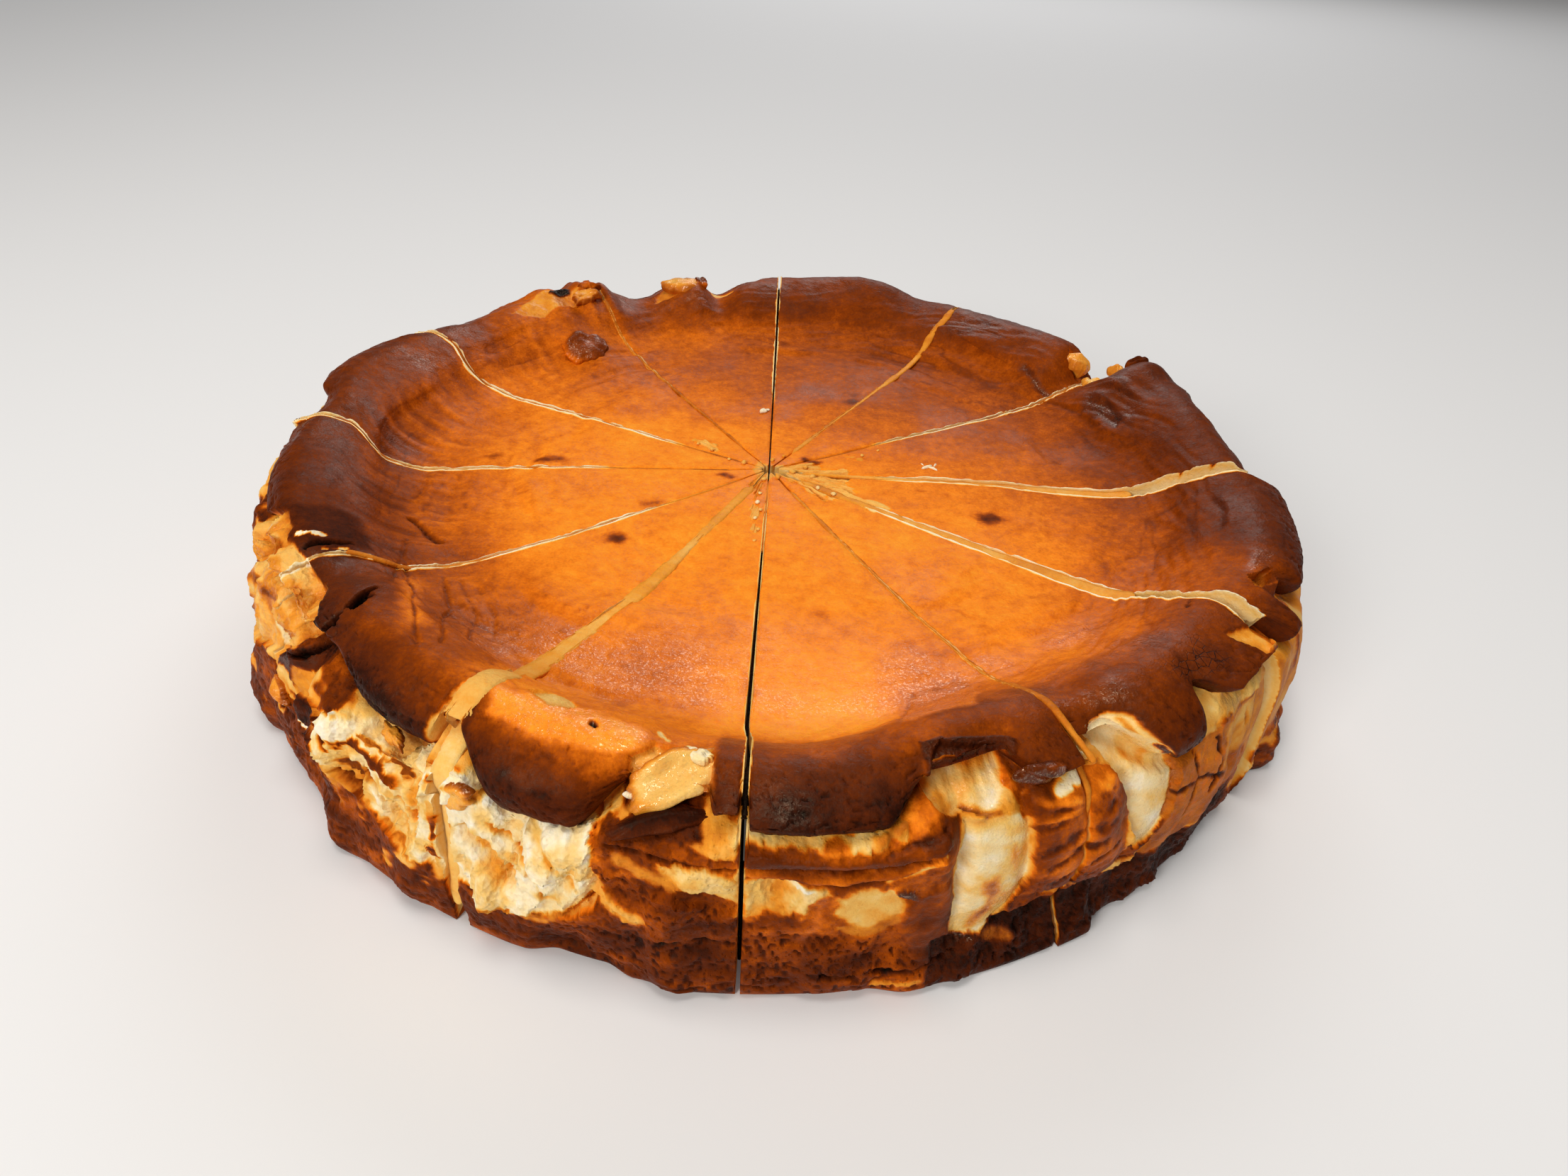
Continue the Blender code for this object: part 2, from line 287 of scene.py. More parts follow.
CREST_RADIUS_SWELLS = table(
    Swell,
    (-88, 10, 5.6), (-106, 8, 2.6), (-50, 9, 2.6), (-20, 18, 3.2), (17, 6, 2.4), (25, 3, 4.6),
    (32, 3.6, -5.6), (48, 12, -3), (79, 9, 2.2), (98, 5, -6.6), (112, 8, -2.2), (143, 14, -2.2),
    (167, 8, 1.8), (179, 5, -2.8), (-155, 14, -0.2), (-138, 6, -2.4),
)

CREST_HEIGHT_SWELLS = table(
    Swell,
    (-85, 9, -1.8), (-96.5, 3.5, -2.4), (-105, 7, -0.8), (-72, 5, 0.6), (-60, 3, -1.4),
    (-50, 8, 0.9), (-18, 14, 0.6), (14, 9, 1.6), (23.6, 3, 2.8), (30.4, 3.8, -9), (56, 8, -0.8),
    (66, 4, -2), (75, 6, 2), (92, 6, -0.8), (101, 3.4, -5.4), (104.8, 2.2, 1.6), (114.6, 5.4, -6),
    (121.6, 1.2, 2.4), (125.6, 1.6, 2.8), (131.4, 2.4, 2.4), (146, 5, -1.4), (168, 12, 1.8),
    (-157, 12, 1.8), (-139, 4, -2.6), (-122, 6, 0.2),
)

SLOPE_RADIUS_SWELLS = table(
    Swell,
    (-88, 22, 12), (-40, 18, 4), (0, 18, 2), (-114, 8, 5), (90, 30, -1),
)

LOBES = table(
    Lobe,
    (-176.2, -169, 0.6, 5, 46, -6.4), (-174, -147, 6, 6, 41, -3.8),
    (-146, -141.5, 2, 2, 43.5, -1.5), (-139, -133, 2, 1.5, 42, -1),
    (-129.4, -115, 8, 0.6, 39.6, 1), (-116, -99.4, 7, 4.6, 35.2, 4),
    (-93.6, -90.8, 0.9, 0.3, 43.6, 3), (-90.8, -76, 0.3, 4.4, 41, 4.4),
    (-68.6, -61.6, 3.2, 0.9, 43.4, 3.6), (-58.6, -46.4, 5.8, 3, 38.2, 4.8),
    (-46.4, -33.6, 3, 1, 44.6, 5), (-33, -29, 1, 1.4, 41, 4.2), (-26, -2.2, 3, 0.6, 41.8, 2),
    (-2.2, 22, 1, 6, 40.6, -1.4), (14, 27.4, 6, 1.2, 42, 2.2), (37, 59, 4, 1.5, 42, -1.5),
    (59.6, 75, 1.5, 3, 40.5, 0), (75, 95, 3, 2.5, 38.5, 2), (112, 124, 3, 3, 42, -3),
    (139, 153.6, 4, 2, 41, -2.4), (154.4, 174, 2, 4, 40, 1.4), (174, 183.6, 3, 1, 44, -6),
)

FOOT_STRETCHES = table(
    Stretch,
    (-132, -124, 3, 4, 2.4), (-127, -106, 3, 5, 0.6), (-109, -99, 3, 3, -2), (-99, -74, 4, 6, 1.4),
    (-80, -57.4, 4, 1.4, 2.8), (-29.5, -18.6, 3, 2.4, 4.4), (-156, -143, 5, 4, 3.6),
)

DENTS = table(
    Dent,
    (-96.4, 43, 2.6, 7, 3.4), (-94.6, 37.5, 4.2, 2.8, -2.4), (-107, 26, 5.5, 8, 1.8),
    (-113.4, 27, 2.4, 12, 1.6), (-103.5, 24, 1.8, 9, -1.4), (-122, 23, 2, 4, 4),
    (-126, 30, 3, 4, -1.6), (-131.6, 36, 1.6, 12, 4), (-140, 32, 7, 8, 2.2),
    (-147, 24, 2.4, 12, -1.2), (-151, 12, 4, 5, -3.8), (-86, 32, 5, 1.6, 1.6),
    (-84, 37.6, 8.5, 2.6, -2.2), (-75.6, 39, 1.8, 4.6, -3.4), (-73.2, 30, 0.9, 12, 2.6),
    (-70.4, 26, 2.6, 12, -0.8), (-66.8, 30, 0.9, 11, 1.5), (-63, 27, 5, 7, -1.8),
    (-56.6, 32, 1.8, 11, 3.2), (-51, 26, 4, 10, -1.6), (-62, 10, 12, 3.2, 4.2),
    (-44, 24, 2, 14, -1.4), (-39.4, 26, 1.4, 12, 1.2), (-25, 24, 2.2, 16, -1.4),
    (-20, 26, 1.6, 14, 1.6), (-9, 22, 3, 14, -1.2), (4, 24, 1.8, 14, 1.6), (12, 22, 3, 14, -1.6),
    (31, 38, 4, 7, 2), (48, 22, 3, 14, -1.6), (66, 24, 2, 14, 1.6), (84, 22, 3.4, 12, -1.4),
    (103, 30, 3, 10, 1.8), (127, 24, 2.4, 14, 1.4), (147, 22, 3, 14, -1.4), (163, 24, 2, 14, 1.4),
    (-176, 22, 3, 14, -1.2),
)


@dataclass(frozen=True)
class Blister:
    """A bubble of crust on the dish's slope."""

    azimuth: float = 131.0
    distance: float = 90.5
    radius: float = 7.0
    height: float = 4.4


# -------------------------------------------------------------- the cake's form


class Station(Enum):
    """Number of a station of the outline, counted from the foot of the wall."""

    NECK = 8
    HEM = 9
    LIP = 11
    CREST = 13


# Between the neck, on the wall, and the hem, on the lip.
WALL_ENDS = Station.NECK.value + 0.5


def cuts_of(index: int) -> tuple[Cut, Cut, float]:
    """First and last cut of a slice, and the degrees from the one to the other."""
    first, last = CUTS[index], CUTS[(index + 1) % len(CUTS)]
    return first, last, turned(last.azimuth, first.azimuth)


@dataclass(frozen=True)
class CakeForm:
    """Works out the cake's outline at any azimuth, and where its cuts run."""

    sizes: CakeSizes = CakeSizes()
    blister: Blister = Blister()
    hem_field: Noise = Noise(3)

    @staticmethod
    def swelled(azimuth: Array, swells: tuple[Swell, ...]) -> Array:
        """Sum of the bells round the cake, in each column."""
        away = ((swell, turned(azimuth, swell.azimuth) / swell.half_width) for swell in swells)
        return sum(swell.amount * np.exp(-(share**2)) for swell, share in away)

    @staticmethod
    def window(azimuth: Array, item: Lobe | Stretch) -> Array:
        """Find where a stretch or lobe is.

        Args:
            azimuth: One azimuth for each column.
            item: The stretch or lobe.

        Returns:
            1 inside it, easing to 0 at its two ends.
        """
        span = item.end - item.start
        along = turned(azimuth, item.start + span / 2.0) + span / 2.0
        return smooth(along / item.rise) * smooth((span - along) / item.fall)

    @staticmethod
    def dents(azimuth: Array, height: Array) -> Array:
        """Find how far hollows and lumps move the wall.

        Args:
            azimuth: One azimuth for each column.
            height: Height over the ground in each column.

        Returns:
            Distances outwards.
        """
        out = np.zeros_like(azimuth + height)
        for dent in DENTS:
            across = turned(azimuth, dent.azimuth) / dent.half_width
            up = (height - dent.height) / dent.half_height
            out -= dent.depth * np.exp(-(across**2) - up**2)
        return out

    def uneven(self, azimuth: Array, radius: float, octaves: int, gain: float) -> Array:
        """Random values from -1 to 1 that join up all round, about 6 times radius waves."""
        x, y = (radius * wave(np.radians(azimuth)) for wave in (np.cos, np.sin))
        return self.hem_field.rough(x, y, np.zeros_like(x), octaves=octaves, gain=gain)

    def stations(self, azimuth: Array) -> tuple[Array, Array]:
        """Outline points, foot to tip, at each azimuth.

        Args:
            azimuth: One azimuth for each column.

        Returns:
            Distances from where the cuts meet and heights, both (station, column).
        """
        s = self.sizes
        body = s.body_radius + self.swelled(azimuth, BODY_SWELLS)
        crest = s.crest_radius + self.swelled(azimuth, CREST_RADIUS_SWELLS)
        top = s.crest_height + self.swelled(azimuth, CREST_HEIGHT_SWELLS)
        slope = s.slope_radius + self.swelled(azimuth, SLOPE_RADIUS_SWELLS)
        bare = top - s.lip_thickness
        hem = bare.copy()
        lip = s.lip_radius - 3.0 + 0.35 * (crest - s.crest_radius)
        hung = np.zeros_like(azimuth)
        for lobe in LOBES:
            share = self.window(azimuth, lobe)
            hem = np.minimum(hem, bare + (lobe.low - bare) * share)
            lip += (lobe.reach + 3.0) * share
            hung = np.maximum(hung, share)
        waves = self.uneven(azimuth + 40.0, 11.0, 2, 0.4)
        hem += mix(0.9 * waves, 0.0, hung) + self.uneven(azimuth, 60.0, 4, 0.6) * 0.35
        lip = np.maximum(lip, crest + s.lip_overhang) + 0.5 * self.uneven(azimuth, 11.0, 2, 0.4)
        foot = np.zeros_like(azimuth)
        for stretch in FOOT_STRETCHES:
            foot += stretch.amount * self.window(azimuth, stretch)

        shoulder = np.minimum(s.shoulder_height, hem - 4.0)
        neck = np.minimum(body - s.neck_inset, lip - s.neck_inset)
        points = []
        for share in s.wall_shares:
            height = shoulder * share
            reach = body + foot * (1.0 - smooth((height - s.foot_top + 2.5) / 5.0))
            reach = reach - 1.4 * smooth((share - 0.7) / 0.3)
            reach = reach + self.dents(azimuth, height) * smooth(height / 4.0)
            reach = reach - s.base_rounding * (1.0 - smooth((height + 1.0) / 5.0))
            points.append((reach, height))
        last_reach, last_height = points[-1]
        bulge = self.dents(azimuth, hem - 2.0) * 0.6
        rise = top - s.dish_height
        inside = crest - 5.0
        level = np.full_like(azimuth, s.dish_height)
        points += [
            (
                0.55 * last_reach + 0.45 * neck + 1.2 + bulge,
                0.45 * last_height + 0.55 * (hem - 0.8),
            ),
            (neck, hem - 0.8),
            (lip - 2.0, hem - 0.2),
            (lip, hem + 1.7),
            (lip + 0.5, 0.5 * (hem + top)),
            (0.62 * lip + 0.38 * crest, top - 1.7),
            (crest, top),
            (inside, top - 1.2),
            (0.42 * slope + 0.58 * inside, s.dish_height + 0.62 * rise),
            (0.78 * slope + 0.22 * inside, s.dish_height + 0.20 * rise),
            (slope - 5.0, level + 0.3),
        ]
        for ring in (*s.dish_rings, s.tip_radius):
            points.append((np.full_like(azimuth, ring), level))
        reach, height = (np.array(values) for values in zip(*points))
        aside = np.radians(turned(azimuth, self.blister.azimuth)) * self.blister.distance
        away = np.hypot(aside[None, :], reach - self.blister.distance) / self.blister.radius
        on_top = np.arange(len(points))[:, None] > Station.CREST.value
        height += np.where(on_top, self.blister.height * np.exp(-(away**2)), 0.0)
        return reach, height

    def stray(self, cut: Cut, reach: Array) -> Array:
        """Find how far a cut strays from its azimuth.

        Args:
            cut: The cut.
            reach: Distances from where the cuts meet.

        Returns:
            Degrees at each distance.
        """
        s = self.sizes
        to_dish = smooth((reach - s.stray_dish_from) / s.stray_dish_over)
        to_rim = smooth((reach - s.stray_rim_from) / s.stray_rim_over)
        return cut.stray_dish * to_dish * (1.0 - to_rim) + cut.stray_rim * to_rim

    def placed(self, index: int, reach: Array, height: Array, share: Array) -> Array:
        """Points of a slice, in metres.

        Args:
            index: Number of the slice.
            reach: Distances from where the cuts meet.
            height: Heights over the ground.
            share: Share of the way from the slice's first cut to its last.

        Returns:
            Points with a last axis of x, y and z.
        """
        s = self.sizes
        first, last, span = cuts_of(index)
        ease = smooth((reach - s.gape_from) / s.gape_over) / np.maximum(reach, 0.5)
        start = first.azimuth + self.stray(first, reach) - np.degrees(0.5 * first.gap * ease)
        end = first.azimuth + span + self.stray(last, reach) + np.degrees(0.5 * last.gap * ease)
        angle = np.radians(start + (end - start) * share)
        middle = math.radians(first.azimuth + span / 2.0)
        out = s.spread + s.slice_shift[index]
        x = s.cuts_meet[0] + reach * np.cos(angle) + out * math.cos(middle)
        y = s.cuts_meet[1] + reach * np.sin(angle) + out * math.sin(middle)
        return np.stack([x, y, height + 0.0 * x], axis=-1) * MM


# ----------------------------------------------------------------- what is painted


class Side(Enum):
    """Part of the outside that a mark lies on."""

    WALL = "wall under the lip"
    LIP = "lip and slope"
    BOTH = "wall and lip"
    DISH = "sunken dish, by plan"


@dataclass(frozen=True)
class Mark:
    """A patch, stroke or spot that has a look of its own.

    With no width its points are the corners of a patch, and with a width they are a
    stroke. On the dish the points are x and y from where the cuts meet, and elsewhere
    azimuth and distance along the outline. Its edge is soft over a stretch and ragged by
    another. A look that is None stays as it is under the mark, and push moves it out.
    """

    side: Side
    points: tuple[tuple[float, float], ...]
    width: float = 0.0
    soft: float = 0.7
    bake: float | None = None
    ragged: float = 0.7
    curd: float | None = None
    gloss: float | None = None
    torn: float | None = None
    pores: float | None = None
    cracks: float | None = None
    push: float = 0.0


WALL, LIP, BOTH, DISH = Side

# Side at the left, where the crust is torn off from lip to foot.
TORN_SIDE_LEFT = (
    Mark(BOTH, ((-160, 22), (-158, 44), (-152.5, 57), (-150, 60), (-147, 60), (-145.6, 57.5),
         (-144, 59.5), (-136, 60.5), (-134.5, 57), (-132.6, 53), (-134, 46), (-135.5, 40),
         (-140, 30), (-147, 24)), bake=0.36, curd=1, torn=0.9, pores=0, gloss=0.7, push=-1.6),
    Mark(BOTH, ((-151, 51), (-146, 55)), 1.6, 2, 0.55),
    Mark(BOTH, ((-147, 40), (-143, 43)), 1.8, 2.4, 0.58),
    Mark(BOTH, ((-153, 35), (-148, 38)), 1.8, 2.4, 0.6),
    Mark(BOTH, ((-139.6, 51), (-137.6, 49)), 1.2, 1.6, 0.52),
    Mark(BOTH, ((-143.4, 53), (-141.8, 50)), 1, 1.6, 0.5),
    Mark(BOTH, ((-156, 28), (-149, 30)), 1.8, 2.6, 0.62),
    Mark(BOTH, ((-143, 34), (-140.5, 31)), 1.4, 1, 0.04, torn=1),
    Mark(BOTH, ((-137.5, 37), (-132.6, 45), (-130.4, 50), (-130.2, 44), (-131.5, 38), (-135, 32),
         (-140, 29)), bake=0.84, curd=0, torn=0.2, gloss=0.5, push=0.3),
    # Painted shade: near-black lines sunk into the crevice at the edge of the torn curd.
    Mark(BOTH, ((-133.6, 69), (-131.4, 62), (-130.6, 50), (-133, 43), (-136, 37), (-139.8, 31)),
         0.55, 0.8, 1, curd=0, gloss=0.2, push=-1.8),
    Mark(BOTH, ((-131.9, 66), (-131, 62)), 0.9, 0.6, 1, push=-1.2),
    Mark(WALL, ((-134, 37.5), (-130, 37.5), (-126, 35), (-128, 31), (-134.4, 29)), bake=0.42,
         curd=1, torn=0.6, push=-0.6),
    Mark(WALL, ((-139, 24), (-128, 25), (-127, 12), (-137, 8)), soft=1.4, bake=0.70, curd=0,
         pores=0.8, torn=0.5),
    Mark(WALL, ((-134, 30), (-128.6, 29.4), (-129, 25), (-130.6, 24), (-133, 25.6)), soft=0.4,
         bake=0.88, curd=0, torn=0.3, gloss=0.5, push=0.9),
    Mark(WALL, ((-133.4, 24.6), (-130, 23.6)), 0.35, 0.4, 0, curd=1),
    # Painted shade: a dark line sunk into a crease.
    Mark(WALL, ((-139, 19), (-133.5, 21), (-130.5, 23)), 0.4, 0.6, 0.95, curd=0, push=-0.8),
)

# Torn curd and scraps of crust left of the nearest slices.
TORN_SLICE_08 = (
    Mark(WALL, ((-128.6, 33), (-127.6, 28), (-126.4, 23), (-123.6, 20), (-120.8, 16.6),
         (-117.8, 14.6), (-115, 15.6), (-114.6, 42), (-119, 42), (-124, 41), (-127, 39)),
         ragged=1.5, bake=0.15, curd=1, torn=1.3, pores=0, gloss=0.2, push=-1.2),
    Mark(WALL, ((-125.4, 33.4), (-123, 34.2), (-120.4, 32.6), (-119.2, 31)), 0.8, 0.8, 0.70,
         ragged=1.5, curd=0, torn=0.7, push=0.8),
    Mark(WALL, ((-122.6, 37.4), (-119.6, 36), (-117.4, 33.6)), 0.9, 0.6, 0.56, ragged=1.2,
         push=0.4),
    Mark(WALL, ((-128.6, 33), (-126.4, 31)), 0.9, 0.4, 0.72, ragged=1, curd=0, push=0.5),
    Mark(WALL, ((-124.6, 28), (-123.6, 26.4)), 1.2, 1.2, 0.5),
    # Painted shade: golden hollows and grooves sunk into the torn curd.
    Mark(WALL, ((-122.4, 27.4), (-120.6, 24.4)), 1.2, 0.7, 0.62, curd=1, gloss=0.6, push=-2.4),
    Mark(WALL, ((-118.6, 27), (-117.4, 23)), 0.5, 0.9, 0.42, push=-0.9),
    Mark(WALL, ((-127, 24), (-124, 20.6), (-121, 17), (-117.6, 14.8)), 0.4, 1, 0.5),
)

# Torn curd, then wrinkled crust up to the cut in front.
TORN_SLICE_07 = (
    Mark(WALL, ((-114.6, 43), (-102, 42), (-101.8, 30), (-101, 23), (-102.6, 17.6), (-105.5, 15),
         (-108.5, 12.4), (-111, 11), (-113, 13.6), (-114.6, 16)), ragged=1.3, bake=0.14, curd=1,
         torn=1.3, pores=0, gloss=0.2, push=-0.8),
    # Painted shade: golden grooves sunk into the torn curd.
    Mark(WALL, ((-112.6, 27.5), (-111, 24), (-109.6, 19.5)), 2, 2, 0.30, push=-2.2),
    Mark(WALL, ((-110.6, 31), (-107.4, 25), (-106, 19)), 0.5, 0.9, 0.42, push=-0.9),
    Mark(WALL, ((-107.6, 35), (-105, 29), (-103.6, 23)), 0.6, 1.4, 0.34, push=-0.5),
    Mark(WALL, ((-114, 38), (-111.6, 36)), 0.9, 1, 0.5, ragged=1.2, torn=1.2, push=0.6),
    Mark(WALL, ((-106.6, 38.4), (-104, 36.4), (-101.4, 38)), 1, 1.8, 0.46),
    Mark(WALL, ((-112.4, 11.6), (-108, 12.4), (-104.6, 15.6), (-101.6, 22)), 0.4, 1, 0.5),
    Mark(WALL, ((-101.4, 42), (-90.8, 46), (-90.8, 0), (-107, 0), (-104.8, 13), (-102, 18),
         (-101, 24)), ragged=1.2, bake=0.68, curd=0, pores=0.5, torn=0.3),
    Mark(WALL, ((-107, 11), (-104, 13), (-98, 15), (-90.8, 14), (-90.8, 0), (-107, 0)), soft=2,
         ragged=1.4, bake=0.75, curd=0, pores=0.8, torn=0.4),
    Mark(WALL, ((-94.6, 45), (-92.4, 46), (-90.8, 46), (-90.8, 38.6), (-92.8, 39.2), (-94.8, 41)),
         soft=1.4, bake=0.36, curd=1, torn=0.1),
    Mark(WALL, ((-100.6, 38), (-97, 36.8), (-94, 37), (-91, 37)), 0.9, 1.3, 0.66, curd=0,
         push=0.7),
    # Painted shade: a dark line sunk under the ridge.
    Mark(WALL, ((-100.6, 36), (-96, 35), (-91, 35.6)), 0.25, 0.8, 0.86, push=-0.9),
    Mark(WALL, ((-96.4, 33.8), (-93, 34.8), (-90.8, 34.6), (-90.8, 25), (-92.6, 28.4),
         (-94.8, 29.8)), soft=2, ragged=1.5, bake=0.27, curd=1, torn=0.6),
    Mark(WALL, ((-99.8, 33.6), (-97.8, 31.8), (-95.8, 30.2)), 1.3, 2.2, 0.47, curd=1),
    Mark(WALL, ((-101.2, 30), (-98, 28.6), (-94.6, 27), (-91, 23), (-91, 18), (-97, 17),
         (-100.6, 21)), soft=0.8, ragged=1.6, bake=0.70, curd=0, pores=0.9, torn=0.8, push=0.4),
    Mark(WALL, ((-101.6, 23.4), (-100, 21), (-98.4, 19.4)), 1.4, 2, 0.32, curd=1, torn=0.2),
    # Painted shade: a dark line sunk into a crease.
    Mark(WALL, ((-97, 14.4), (-94, 15.6), (-91, 14.4)), 0.3, 0.8, 0.92, push=-0.9),
)

